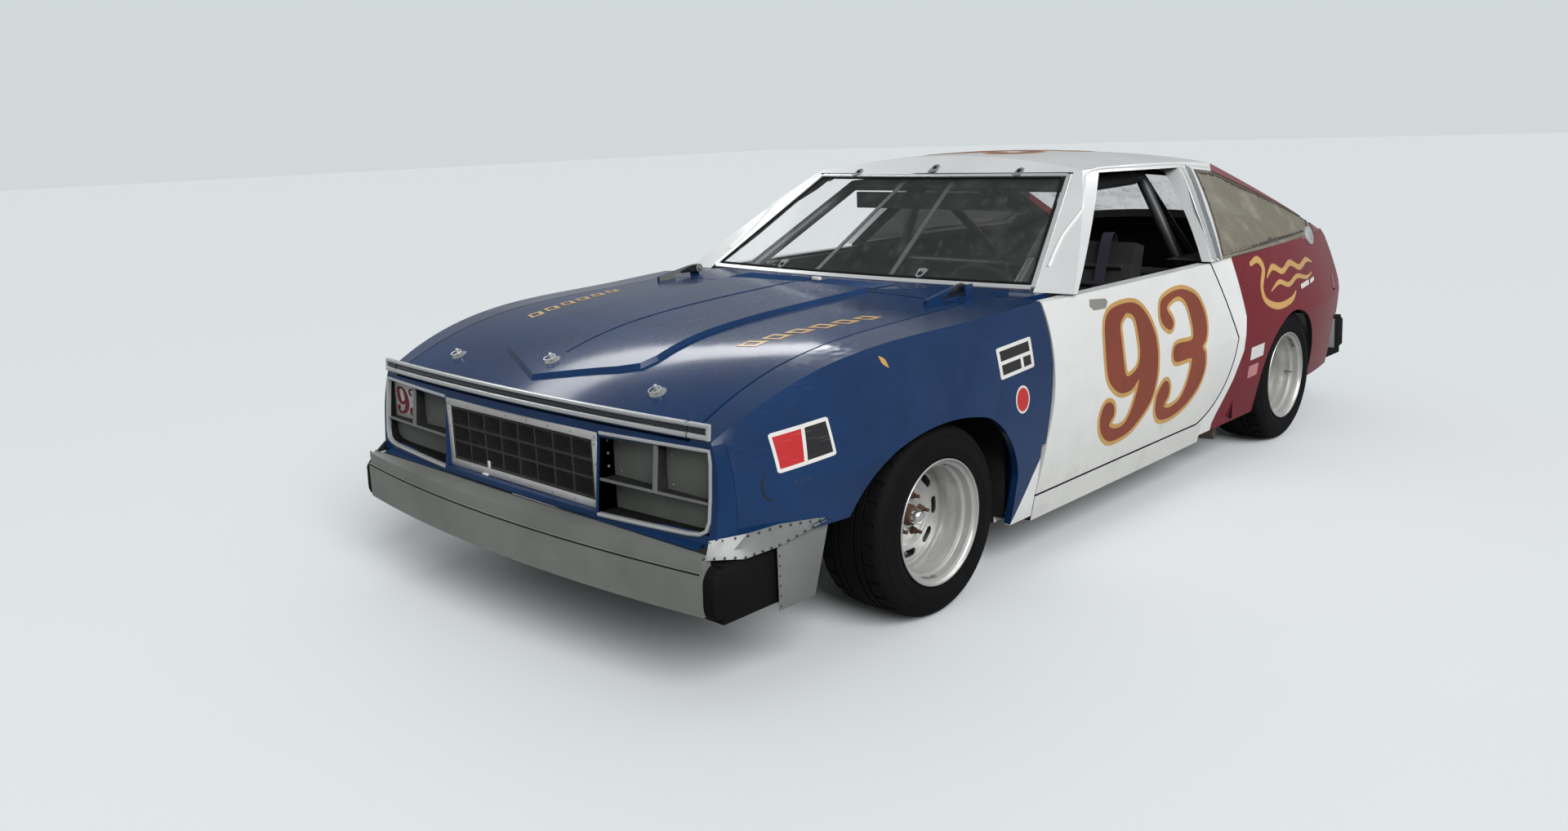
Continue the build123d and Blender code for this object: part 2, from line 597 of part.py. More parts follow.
upper_outer = upper_body(0)
upper_inner = upper_body(UPPER_WALL)
upper_glass = upper_body(GLASS_INSET)
with BuildPart() as roof_frame:
    add(upper_outer)
    add(upper_inner, mode=Mode.SUBTRACT)
    add(side_prism(DOOR_WINDOW), mode=Mode.SUBTRACT)
    add(side_prism(QUARTER_WINDOW), mode=Mode.SUBTRACT)
    add(front_prism(SCREEN_OPENING, (10, 900)), mode=Mode.SUBTRACT)
    add(top_prism(HATCH_OPENING, (BELT_Z + 22, 1400)), mode=Mode.SUBTRACT)
    add(block((POST_X[0], REACH), (-1000, 1000), (0, 1400)), mode=Mode.SUBTRACT)
    for y0, y1 in HINGE_LEAVES[::2]:
        add(hatch_leaf((HATCH_HINGE[0], HATCH_HINGE[0] + 36), (y0, y1)))
        add(hatch_leaf((HATCH_HINGE[0], HATCH_HINGE[0] + 36), (-y0, -y1)))
roof_frame.part.label = "roof_frame"
export_step(roof_frame.part, "parts/roof_frame.step")

# Windshield sheet
with BuildPart() as windshield:
    add(upper_glass)
    add(screen_solid(GLASS_INSET + GLASS), mode=Mode.SUBTRACT)
    add(front_prism(SCREEN_OPENING, (10, 900)), mode=Mode.INTERSECT)
windshield.part.label = "windshield"
export_step(windshield.part, "parts/windshield.step")

# Sheets that close the quarter windows
with BuildPart() as quarter_windows:
    add(upper_glass)
    add(upper_body(GLASS_INSET + GLASS), mode=Mode.SUBTRACT)
    add(side_prism(QUARTER_WINDOW), mode=Mode.INTERSECT)
quarter_windows.part.label = "quarter_windows"
export_step(quarter_windows.part, "parts/quarter_windows.step")

# Rear floor with its rails and the panels beside the wheels
REAR_FLOOR_Z = (REAR_RAIL_Z[1], REAR_RAIL_Z[1] + 15)
WELL_Y = (600, 615)
REAR_RAIL_END_X = REAR_END_X + 75
BOOT_TRAY_X = (-1450, -1050)
BOOT_TRAY_Y = 300
BOOT_TRAY_Z = REAR_FLOOR_Z[1] + 6
with BuildPart() as rear_floor:
    add(block((TAIL_SPLIT_X - 10, REAR_FLOOR_X), (-WELL_Y[1], WELL_Y[1]), REAR_FLOOR_Z))
    add(block((REAR_FLOOR_X - 15, REAR_FLOOR_X), (-QUARTER_POST_Y[0] + 2, QUARTER_POST_Y[0] - 2),
              (FLOOR_Z - FLOOR_THICKNESS, REAR_FLOOR_Z[1])))
    add(block(BOOT_TRAY_X, (-BOOT_TRAY_Y, BOOT_TRAY_Y), (REAR_FLOOR_Z[1], BOOT_TRAY_Z)))
    add(pair((REAR_RAIL_END_X, REAR_FLOOR_X - 15), RAIL_Y, REAR_RAIL_Z))
    add(pair((TAIL_SPLIT_X, REAR_FLOOR_X), WELL_Y, (REAR_FLOOR_Z[0], 700)))
    add(pair((TAIL_SPLIT_X, TAIL_SPLIT_X + 20), (WELL_Y[1], 760), (REAR_FLOOR_Z[0], 760)))
    add(pair((REAR_FLOOR_X - 15, REAR_FLOOR_X), (WELL_Y[1], 820), (REAR_FLOOR_Z[1], 700)))
rear_floor.part.label = "rear_floor"
export_step(rear_floor.part, "parts/rear_floor.step")

# Tail panel
with BuildPart() as tail_panel:
    add(shell.part)
    add(block((-REACH, TAIL_SPLIT_X), (-1000, 1000), (TAIL_BOTTOM_Z, BELT_Z)), mode=Mode.INTERSECT)
tail_panel.part.label = "tail_panel"
export_step(tail_panel.part, "parts/tail_panel.step")

# Blade on the tail
SPOILER_LINE = ((-1905, 800), (-1925.12, 746), (-1990, 786), (-1984, 808))
SPOILER_HALF_WIDTH = 720
with BuildPart() as spoiler:
    add(side_prism(SPOILER_LINE, (-SPOILER_HALF_WIDTH, SPOILER_HALF_WIDTH)))
    add(lower_outer, mode=Mode.SUBTRACT)
spoiler.part.label = "spoiler"
export_step(spoiler.part, "parts/spoiler.step")

# Front bumper, bowed, with a bevelled upper edge
BUMPER_Z = (246, 390)
BUMPER_CORNER = (2079, 801)
BUMPER_BEVEL = 34
with BuildPart() as front_bumper:
    for z, step in (((BUMPER_Z[0], BUMPER_Z[1] - BUMPER_BEVEL), 0), ((BUMPER_Z[1] - BUMPER_BEVEL, BUMPER_Z[1]), 7)):
        with BuildSketch(Plane.XY.offset(z[0])):
            with BuildLine():
                ThreePointArc((BUMPER_CORNER[0] - step, -BUMPER_CORNER[1]), (FRONT_END_X - step, 0),
                              (BUMPER_CORNER[0] - step, BUMPER_CORNER[1]))
                Polyline((BUMPER_CORNER[0] - step, BUMPER_CORNER[1]), (FRONT_RAIL_END_X, BUMPER_CORNER[1]),
                         (FRONT_RAIL_END_X, -BUMPER_CORNER[1]), (BUMPER_CORNER[0] - step, -BUMPER_CORNER[1]))
            make_face()
        extrude(amount=z[1] - z[0])
front_bumper.part.label = "front_bumper"
export_step(front_bumper.part, "parts/front_bumper.step")

# Rear bumper
REAR_BUMPER_Z = (250, 400)
REAR_BUMPER_CORNER = (-2092, 790)
with BuildPart() as rear_bumper:
    with BuildSketch(Plane.XY.offset(REAR_BUMPER_Z[0])):
        with BuildLine():
            ThreePointArc((REAR_BUMPER_CORNER[0], -REAR_BUMPER_CORNER[1]), (REAR_END_X, 0), REAR_BUMPER_CORNER)
            Polyline(REAR_BUMPER_CORNER, (REAR_RAIL_END_X, REAR_BUMPER_CORNER[1]),
                     (REAR_RAIL_END_X, -REAR_BUMPER_CORNER[1]), (REAR_BUMPER_CORNER[0], -REAR_BUMPER_CORNER[1]))
        make_face()
    extrude(amount=REAR_BUMPER_Z[1] - REAR_BUMPER_Z[0])
rear_bumper.part.label = "rear_bumper"
export_step(rear_bumper.part, "parts/rear_bumper.step")

# Rubber ends and side plates between the bumpers and the wheels: x, y and z of each left block
BUMPER_ENDS = (
    ((1840, FRONT_RAIL_END_X), (772, 836), (226, 372)),
    ((REAR_RAIL_END_X, TAIL_SPLIT_X), (740, 800), (230, 412)),
)
SIDE_PLATE = ((1840, 214), (1840, FENDER_LOWER_Z), (1688, FENDER_LOWER_Z), (1752, 214))
with BuildPart() as bumper_ends:
    for x, y, z in BUMPER_ENDS:
        add(block(x, y, z))
    add(side_prism(SIDE_PLATE, (796, 850)))
    mirror(about=Plane.XZ)
bumper_ends.part.label = "bumper_ends"
export_step(bumper_ends.part, "parts/bumper_ends.step")

# Roll cage: rows of points of the left tubes, then the cross tubes
CAGE_FRONT = ((575, 668, FLOOR_Z), (530, 640, 795), (-60, 524, 1130), (-560, 524, 1140))
CAGE_HOOP = ((-590, 690, FLOOR_Z), (-590, 690, 800), (-560, 524, 1140))
CAGE_BRACE = ((-560, 524, 1140), (-1500, 500, REAR_FLOOR_Z[1]))
DOOR_BAR_Z = (360, 520, 680)
CAGE_CROSS = ((-60, 524, 1130), (-560, 524, 1140), (-590, 690, 760))
with BuildPart() as cage_left:
    add(tube_run(CAGE_FRONT, TUBE_RADIUS))
    add(tube_run(CAGE_HOOP, TUBE_RADIUS))
    add(tube_run(CAGE_BRACE, TUBE_RADIUS))
    with Locations(CAGE_FRONT[-1]):
        Sphere(TUBE_RADIUS)
    for z in DOOR_BAR_Z:
        up = (z - FLOOR_Z) / (CAGE_FRONT[1][2] - FLOOR_Z)
        x, y = [a + (b - a) * up for a, b in zip(CAGE_FRONT[0][:2], CAGE_FRONT[1][:2])]
        add(rod((x, y, z), (-590, 690, z), TUBE_RADIUS - 2))
    add(block((-700, 700), (0, 1000), (0, FLOOR_Z)), mode=Mode.SUBTRACT)
    add(block((-REACH, -1000), (0, 1000), (0, REAR_FLOOR_Z[1])), mode=Mode.SUBTRACT)
with BuildPart() as roll_cage:
    add(cage_left.part)
    mirror(about=Plane.XZ)
    for x, y, z in CAGE_CROSS:
        add(rod((x, -y, z), (x, y, z), TUBE_RADIUS))
roll_cage.part.label = "roll_cage"
export_step(roll_cage.part, "parts/roll_cage.step")

# Seat
SEAT_Y = 400
SEAT_LINE = ((190, FLOOR_Z), (200, 300), (-190, 270), (-390, 900), (-460, 880), (-280, FLOOR_Z))
SEAT_HALF_WIDTH = 200
SEAT_BOLSTER = 35
SEAT_BOLSTER_X = (-330, 150)
SEAT_BOLSTER_TOP_Z = 400
SEAT_WING = ((-150, 390), (-300, 700), (-440, 700), (-330, 390))
with BuildPart() as seat:
    add(side_prism(SEAT_LINE, (SEAT_Y - SEAT_HALF_WIDTH, SEAT_Y + SEAT_HALF_WIDTH)))
    for side in (-1, 1):
        ends = sorted((SEAT_Y + side * SEAT_HALF_WIDTH, SEAT_Y + side * (SEAT_HALF_WIDTH + SEAT_BOLSTER)))
        add(block(SEAT_BOLSTER_X, ends, (FLOOR_Z, SEAT_BOLSTER_TOP_Z)))
        add(side_prism(SEAT_WING, ends))
seat.part.label = "seat"
export_step(seat.part, "parts/seat.step")

# Dashboard and steering column
DASH_X = (400, 470)
DASH_Z = (610, 770)
DASH_HALF_WIDTH = 605
DASH_BRACKET_Z = 708
WHEEL_CENTRE = (300, SEAT_Y, 715)
WHEEL_TILT = 24
COLUMN_END = 54
COLUMN_LENGTH = 136
COLUMN_RADIUS = 24
AXIS = (-math.cos(math.radians(WHEEL_TILT)), 0, math.sin(math.radians(WHEEL_TILT)))


def on_axis(distance):
    """Return the point of the steering axis at a distance from the rim's centre."""
    return tuple(c + distance * a for c, a in zip(WHEEL_CENTRE, AXIS))


with BuildPart() as dashboard:
    add(block(DASH_X, (-DASH_HALF_WIDTH, DASH_HALF_WIDTH), DASH_Z))
    add(pair((DASH_X[0], DASH_X[1] - 10), (DASH_HALF_WIDTH, POST_Y[0]), (DASH_BRACKET_Z, DASH_Z[1])))
    add(pair((DASH_X[0], POST_X[1]), (POST_Y[0] - 26, POST_Y[0]), (DASH_BRACKET_Z, DASH_Z[1])))
    add(rod(on_axis(-COLUMN_END - PIN_GAP), on_axis(-COLUMN_END - COLUMN_LENGTH), COLUMN_RADIUS))
dashboard.part.label = "dashboard"
export_step(dashboard.part, "parts/dashboard.step")

# Steering wheel
GRIP_CIRCLE = 175
GRIP_RADIUS = 14
BOSS_RADIUS = 40
BOSS_REACH = (-20, -COLUMN_END)
SPOKE_TURNS = (90, 210, 330)
with BuildPart() as steering_wheel:
    with BuildSketch(Plane(origin=WHEEL_CENTRE, x_dir=AXIS, z_dir=(0, 1, 0))):
        with Locations((0, GRIP_CIRCLE)):
            RegularPolygon(GRIP_RADIUS, 8)
    revolve(axis=Axis(WHEEL_CENTRE, AXIS))
    add(rod(on_axis(BOSS_REACH[0]), on_axis(BOSS_REACH[1]), BOSS_RADIUS))
    up = Vector(*AXIS).cross(Vector(0, 1, 0))
    for turn in SPOKE_TURNS:
        a = math.radians(turn)
        tip = Vector(*WHEEL_CENTRE) + (up * math.sin(a) + Vector(0, 1, 0) * math.cos(a)) * (GRIP_CIRCLE - 3)
        add(rod(on_axis(-28), tuple(tip), 10))
steering_wheel.part.label = "steering_wheel"
export_step(steering_wheel.part, "parts/steering_wheel.step")

# Wide mirror across the cage
MIRROR_X = (-45, -25)
MIRROR_Y = (-480, 250)
MIRROR_Z = (1040, 1105)
MIRROR_ARM_Y = (150, 190)
MIRROR_ARM_Z = (1060, 1150)
with BuildPart() as wide_mirror:
    add(block(MIRROR_X, MIRROR_Y, MIRROR_Z))
    add(pair((MIRROR_X[0] - 3, MIRROR_X[1] + 3), MIRROR_ARM_Y, MIRROR_ARM_Z))
    add(rod((CAGE_CROSS[0][0], -500, CAGE_CROSS[0][2]), (CAGE_CROSS[0][0], 500, CAGE_CROSS[0][2]), TUBE_RADIUS),
        mode=Mode.SUBTRACT)
wide_mirror.part.label = "wide_mirror"
export_step(wide_mirror.part, "parts/wide_mirror.step")

# Engine as one plain block
ENGINE_X = (930, 1600)
ENGINE_HALF_WIDTH = 230
ENGINE_TOP_Z = 700
ENGINE_MOUNT_HEIGHT = 60
with BuildPart() as engine_block:
    add(block(ENGINE_X, (-ENGINE_HALF_WIDTH, ENGINE_HALF_WIDTH), (FRONT_RAIL_Z[1], ENGINE_TOP_Z)))
    add(block(ENGINE_X, (-RAIL_Y[1], RAIL_Y[1]), (FRONT_RAIL_Z[1], FRONT_RAIL_Z[1] + ENGINE_MOUNT_HEIGHT)))
engine_block.part.label = "engine_block"
export_step(engine_block.part, "parts/engine_block.step")

# Front crossmember with the arms and the struts
ARM_Z = (150, 174)
KNUCKLE_Z = (181, 376)
UPPER_ARM_Z = (383, 405)
ARM_REACH = 14
STRUT_Y = 592
STRUT_TOP_Z = 640
STRUT_RADIUS = 22
with BuildPart() as front_crossmember:
    add(block((FRONT_AXLE_X - 70, FRONT_AXLE_X + 70), (-RAIL_Y[1] - 10, RAIL_Y[1] + 10), (ARM_Z[0], FRONT_RAIL_Z[0])))
    add(pair((FRONT_AXLE_X - 24, FRONT_AXLE_X + 24), (RAIL_Y[1] - 10, KINGPIN_Y + ARM_REACH), ARM_Z))
    add(pair((FRONT_AXLE_X - 20, FRONT_AXLE_X + 20), (RAIL_Y[1], KINGPIN_Y + ARM_REACH), UPPER_ARM_Z))
    for y in (-STRUT_Y, STRUT_Y):
        add(rod((FRONT_AXLE_X, y, ARM_Z[0] + 5), (FRONT_AXLE_X, y, STRUT_TOP_Z), STRUT_RADIUS))
    add(pair((FRONT_AXLE_X - 40, FRONT_AXLE_X + 40), (RAIL_Y[1], 520), (FRONT_RAIL_Z[0], 420)))
front_crossmember.part.label = "front_crossmember"
export_step(front_crossmember.part, "parts/front_crossmember.step")

# Rear axle with leaf springs
AXLE_RADIUS = 38
SPRING_Z = (316, 328)
SPRING_Y = (405, 455)
SPRING_REACH = 340
SHACKLE = 40
HUB_REACH = 12
DIFF_X = (REAR_AXLE_X - 70, REAR_AXLE_X + 90)
DIFF_RADIUS = 105
DRUM_RADIUS = 97
DRUM_Y = (700, DISC_Y - 8 - MOVE_GAP)
with BuildPart() as rear_axle:
    add(rod((REAR_AXLE_X, -DRUM_Y[1] + 5, TYRE_RADIUS), (REAR_AXLE_X, DRUM_Y[1] - 5, TYRE_RADIUS), AXLE_RADIUS))
    add(rod((DIFF_X[0], 0, TYRE_RADIUS), (DIFF_X[1], 0, TYRE_RADIUS), DIFF_RADIUS))
    for side in (-1, 1):
        start = (REAR_AXLE_X, side * DRUM_Y[0], TYRE_RADIUS)
        add(rod(start, (REAR_AXLE_X, side * DRUM_Y[1], TYRE_RADIUS), DRUM_RADIUS))
        add(rod(start, (REAR_AXLE_X, side * (DISC_Y + HUB_REACH), TYRE_RADIUS), HUB_RADIUS))
    add(pair((REAR_AXLE_X - SPRING_REACH, REAR_AXLE_X + SPRING_REACH), SPRING_Y, SPRING_Z))
    add(pair((REAR_AXLE_X - 30, REAR_AXLE_X + 30), SPRING_Y, (250, SPRING_Z[0])))
    for x in (REAR_AXLE_X - SPRING_REACH, REAR_AXLE_X + SPRING_REACH - SHACKLE):
        add(pair((x, x + SHACKLE), SPRING_Y, (SPRING_Z[0], REAR_RAIL_Z[0])))
rear_axle.part.label = "rear_axle"
export_step(rear_axle.part, "parts/rear_axle.step")

# Exhaust pipe below the floor, out ahead of the left rear wheel
EXHAUST_Y = 230
EXHAUST_Z = FLOOR_Z - FLOOR_THICKNESS - 32
EXHAUST_RADIUS = 30
EXHAUST_LINE = ((1010, EXHAUST_Y, 400), (930, EXHAUST_Y, EXHAUST_Z), (-560, EXHAUST_Y, EXHAUST_Z),
                (-700, 800, EXHAUST_Z))
EXHAUST_HANGERS = ((-300, -260), (500, 540))
with BuildPart() as exhaust_pipe:
    add(tube_run(EXHAUST_LINE, EXHAUST_RADIUS))
    add(block((800, REACH), (0, 400), (FRONT_RAIL_Z[1], REACH)), mode=Mode.SUBTRACT)
    for x in EXHAUST_HANGERS:
        add(block(x, (EXHAUST_Y - 20, EXHAUST_Y + 20), (EXHAUST_Z, FLOOR_Z - FLOOR_THICKNESS)))
exhaust_pipe.part.label = "exhaust_pipe"
export_step(exhaust_pipe.part, "parts/exhaust_pipe.step")

# Knuckles
with BuildPart() as knuckle_left:
    add(block((FRONT_AXLE_X - 30, FRONT_AXLE_X + 30), (KINGPIN_Y - 28, KINGPIN_Y + 12), KNUCKLE_Z))
    add(rod((FRONT_AXLE_X, KINGPIN_Y + 10, TYRE_RADIUS), (FRONT_AXLE_X, DRUM_Y[1], TYRE_RADIUS), DRUM_RADIUS))
    add(rod((FRONT_AXLE_X, KINGPIN_Y, TYRE_RADIUS), (FRONT_AXLE_X, DISC_Y + HUB_REACH, TYRE_RADIUS), HUB_RADIUS))
    add(rod((FRONT_AXLE_X, KINGPIN_Y, ARM_Z[1] + PIN_GAP), (FRONT_AXLE_X, KINGPIN_Y, UPPER_ARM_Z[0] - PIN_GAP), 13))
knuckle_left.part.label = "knuckle_left"
export_step(knuckle_left.part, "parts/knuckle_left.step")
with BuildPart() as knuckle_right:
    add(mirror(knuckle_left.part, about=Plane.XZ))
knuckle_right.part.label = "knuckle_right"
export_step(knuckle_right.part, "parts/knuckle_right.step")

# One wheel about its own axis, the outer side toward +Y, zero at the lip's plane
BEAD = RIM_BARREL_RADIUS + 8
SECTION = Plane(origin=(0, 0, 0), x_dir=(0, 1, 0), z_dir=(1, 0, 0))
TYRE_LINE = ((12, BEAD + TYRE_GAP), (-2, 220), (8, 262), (34, TYRE_RADIUS))
with BuildPart() as tyre:
    with BuildSketch(SECTION):
        outer = [(-y, r) for y, r in TYRE_LINE]
        inner = [(y - TYRE_WIDTH, r) for y, r in reversed(TYRE_LINE)]
        Polygon(*outer, *inner, align=None)
    revolve(axis=Axis.Y)

DISC_IN = WHEEL_OUTER_Y - DISC_Y
DISC_THICKNESS = 8
DISC_LINE = ((-2, 142), (-8, 134), (-8, 92), (0, 78))
BARREL_RADIUS = 152
BARREL_STEP = (40, 50)
SEAT_WIDTH = 12
RIM_EDGE = 5
RIM_WALL = 7
SLOTS = 8
SLOT_CIRCLE = 116
SLOT_SIZE = (48, 26)
LUGS = 5
LUG_CIRCLE = 57
LUG_RADIUS = 11
LUG_HEIGHT = 20
with BuildPart() as rim:
    half_inside = ((0, RIM_LIP_RADIUS - RIM_EDGE), (SEAT_WIDTH, BEAD - RIM_WALL), (BARREL_STEP[0], BEAD - RIM_WALL),
                   (BARREL_STEP[1], BARREL_RADIUS))
    half_outside = ((BARREL_STEP[1], BARREL_RADIUS + RIM_WALL), (BARREL_STEP[0], BEAD), (SEAT_WIDTH, BEAD),
                    (RIM_EDGE, RIM_LIP_RADIUS), (0, RIM_LIP_RADIUS))
    with BuildSketch(SECTION):
        near = [(-y, r) for y, r in half_outside + half_inside]
        far = [(y - TYRE_WIDTH, r) for y, r in reversed(half_outside + half_inside)]
        Polygon(*near, *far, align=None)
    revolve(axis=Axis.Y)
    with BuildSketch(SECTION):
        hole = HUB_RADIUS + PIN_GAP
        edge = BARREL_RADIUS + 2
        Polygon((-DISC_IN - DISC_THICKNESS, hole), (-DISC_IN - DISC_THICKNESS, edge), (-DISC_IN, edge),
                *[(-DISC_IN - y, r) for y, r in DISC_LINE], (-DISC_IN, hole), align=None)
    revolve(axis=Axis.Y)
    with BuildSketch(Plane(origin=(0, -DISC_IN + 20, 0), x_dir=(1, 0, 0), z_dir=(0, -1, 0))):
        with PolarLocations(SLOT_CIRCLE, SLOTS):
            SlotOverall(*SLOT_SIZE, rotation=90)
    extrude(amount=40, mode=Mode.SUBTRACT)
    with BuildSketch(Plane(origin=(0, -DISC_IN, 0), x_dir=(1, 0, 0), z_dir=(0, 1, 0))):
        with PolarLocations(LUG_CIRCLE, LUGS):
            RegularPolygon(LUG_RADIUS, 6)
    extrude(amount=LUG_HEIGHT)

for end, axle_x in (("front", FRONT_AXLE_X), ("rear", REAR_AXLE_X)):
    for side, turn in (("left", 0), ("right", 180)):
        place = Location((axle_x, WHEEL_OUTER_Y if turn == 0 else -WHEEL_OUTER_Y, TYRE_RADIUS), (0, 0, turn))
        for kind, shape in (("tyre", tyre.part), ("rim", rim.part)):
            with BuildPart() as wheel_piece:
                add(shape.moved(place))
            wheel_piece.part.label = f"{kind}_{end}_{side}"
            export_step(wheel_piece.part, f"parts/{kind}_{end}_{side}.step")

# Doors: an outer skin with a smaller inner pad
with BuildPart() as door_skin:
    add(lower_outer)
    add(lower_body(DOOR_SKIN), mode=Mode.SUBTRACT)
    add(door_outline(0), mode=Mode.INTERSECT)
    add(block((-REACH, REACH), (DOOR_INNER_Y, 1000), (0, DOOR_FRONT[0][1])), mode=Mode.INTERSECT)
with BuildPart() as door_left:
    add(lower_outer)
    add(door_outline(-DOOR_HEM), mode=Mode.INTERSECT)
    add(block((-REACH, REACH), (DOOR_INNER_Y, 1000), (0, DOOR_FRONT[0][1])), mode=Mode.INTERSECT)
    add(door_skin.part)
    for z in DOOR_HINGE_Z:
        add(block((DOOR_HINGE[0] - 17, 800), (700, DOOR_HINGE[1] + 13),
                  (z - DOOR_HINGE_HEIGHT / 2 - MOVE_GAP, z + DOOR_HINGE_HEIGHT / 2 + MOVE_GAP)), mode=Mode.SUBTRACT)
        half = DOOR_HINGE_HEIGHT / 2 + 10
        add(rod((*DOOR_HINGE, z - half), (*DOOR_HINGE, z + half), PIN_RADIUS))
door_left.part.label = "door_left"
export_step(door_left.part, "parts/door_left.step")
with BuildPart() as door_right:
    add(mirror(door_left.part, about=Plane.XZ))
door_right.part.label = "door_right"
export_step(door_right.part, "parts/door_right.step")

# Bonnet with its raised middle and the hinge brackets
BULGE_HEIGHT = 13
BULGE_SLOPE = 18
SPINE_HEIGHT = 2
SPINE_HALF_WIDTH = 3
SPINE_FRONT_X = 1840
BULGE_LINE = ((1972, 0), (1872, 262), (1835, 326), (1780, 340), (1690, 330), (1590, 324), (HOOD_REAR_X, 330))
HOOD_BRACKET = ((751, 858), (756, 874), (772, 878), (810, 876), (962, 850), (962, 822), (884, 822), (884, 853),
                (756, 852))
with BuildPart() as hood_skin:
    add(lower_outer)
    add(lower_inner, mode=Mode.SUBTRACT)
    add(block((HOOD_REAR_X, REACH), (-HOOD_HALF_WIDTH, HOOD_HALF_WIDTH), (HOOD_LIP_Z, 900)), mode=Mode.INTERSECT)
with BuildPart() as bulge:
    add(lower_body(-BULGE_HEIGHT))
    add(lower_body(SKIN / 2), mode=Mode.SUBTRACT)
    add(top_prism([*BULGE_LINE, *[(x, -y) for x, y in reversed(BULGE_LINE[1:])]], (600, 900)), mode=Mode.INTERSECT)
    crown = bulge.faces().filter_by(GeomType.BSPLINE).sort_by(Axis.Z)[-1]
    chamfer(crown.edges().filter_by(lambda e: e.center().X > HOOD_REAR_X + 1), BULGE_HEIGHT - 1, BULGE_SLOPE)
with BuildPart() as spine:
    add(lower_body(-BULGE_HEIGHT - SPINE_HEIGHT))
    add(block((HOOD_REAR_X, SPINE_FRONT_X), (-SPINE_HALF_WIDTH, SPINE_HALF_WIDTH), (700, 900)), mode=Mode.INTERSECT)
    add(lower_body(0), mode=Mode.SUBTRACT)
with BuildPart() as hood:
    add(hood_skin.part)
    add(bulge.part)
    add(spine.part)
    for side in (-1, 1):
        y = side * HOOD_HINGE[1]
        add(side_prism(HOOD_BRACKET, (y - 6, y + 6)))
        add(rod((HOOD_HINGE[0], y - 10, HOOD_HINGE[2]), (HOOD_HINGE[0], y + 10, HOOD_HINGE[2]), PIN_RADIUS + PIN_GAP),
            mode=Mode.SUBTRACT)
hood.part.label = "hood"
export_step(hood.part, "parts/hood.step")

# Hatch
HATCH_GAP = 6
with BuildPart() as hatch_frame:
    add(upper_outer)
    add(upper_inner, mode=Mode.SUBTRACT)
    with BuildSketch(Plane.XY.offset(BELT_Z + 22 + HATCH_GAP)):
        Polygon(*HATCH_OPENING, align=None)
        offset(amount=-HATCH_GAP, kind=Kind.INTERSECTION)
    extrude(amount=500, mode=Mode.INTERSECT)
    add(top_prism(HATCH_LIGHT, (BELT_Z, 1400)), mode=Mode.SUBTRACT)
    y0, y1 = HINGE_LEAVES[1]
    add(hatch_leaf((HATCH_HINGE[0] - 36, HATCH_HINGE[0] - 4), (y0, y1)))
    add(hatch_leaf((HATCH_HINGE[0] - 36, HATCH_HINGE[0] - 4), (-y0, -y1)))
hatch_frame.part.label = "hatch_frame"
export_step(hatch_frame.part, "parts/hatch_frame.step")
with BuildPart() as hatch_glass:
    add(upper_glass)
    add(hatch_solid(GLASS_INSET + GLASS), mode=Mode.SUBTRACT)
    add(top_prism(HATCH_LIGHT, (BELT_Z, 1400)), mode=Mode.INTERSECT)
hatch_glass.part.label = "hatch_glass"
export_step(hatch_glass.part, "parts/hatch_glass.step")
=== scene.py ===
"""Looks of a short-track race hatchback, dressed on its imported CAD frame.

Lengths are metres in the frame of the CAD part: X forward, Y to the car's left, Z up.
"""
import logging
import math
import random
from dataclasses import dataclass, field
from enum import Enum
from typing import Callable, Dict, Iterable, List, Optional, Sequence, Tuple, Union

import bmesh
import bpy
from mathutils import Matrix, Vector
from mathutils.bvhtree import BVHTree

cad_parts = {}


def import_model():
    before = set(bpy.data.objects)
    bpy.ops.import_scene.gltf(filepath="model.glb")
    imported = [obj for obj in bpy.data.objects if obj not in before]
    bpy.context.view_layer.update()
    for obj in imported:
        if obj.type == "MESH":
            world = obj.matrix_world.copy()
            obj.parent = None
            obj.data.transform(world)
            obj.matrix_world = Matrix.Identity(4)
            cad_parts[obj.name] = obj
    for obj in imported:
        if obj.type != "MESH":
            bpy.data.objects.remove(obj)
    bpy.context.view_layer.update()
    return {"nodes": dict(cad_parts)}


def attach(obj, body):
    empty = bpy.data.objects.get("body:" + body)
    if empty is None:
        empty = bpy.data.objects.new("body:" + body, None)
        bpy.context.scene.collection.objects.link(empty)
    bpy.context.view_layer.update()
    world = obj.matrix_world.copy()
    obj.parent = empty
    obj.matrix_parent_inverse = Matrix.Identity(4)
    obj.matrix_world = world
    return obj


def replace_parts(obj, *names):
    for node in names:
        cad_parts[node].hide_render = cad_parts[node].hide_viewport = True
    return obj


LOG = logging.getLogger("scene")
Colour = Tuple[float, float, float]
Point2 = Tuple[float, float]
Point3 = Tuple[float, float, float]
Outline = Sequence[Point2]
Place2 = Callable[[Point2], Point2]
SIDES = ((1, "left"), (-1, "right"))
HERE = Matrix.Identity(4)
FORWARD, LEFTWARD, BACKWARD = Vector((1, 0, 0)), Vector((0, 1, 0)), Vector((-1, 0, 0))
TO_FRONT = Matrix.Rotation(math.pi / 2, 4, "Y")
TO_LEFT = Matrix.Rotation(-math.pi / 2, 4, "X")
FLAT = 60.0


class View(Enum):
    """The side from which a panel is seen when flat shapes are laid on it."""

    LEFT = "left"
    RIGHT = "right"
    TOP = "top"
    FRONT = "front"
    BACK = "back"


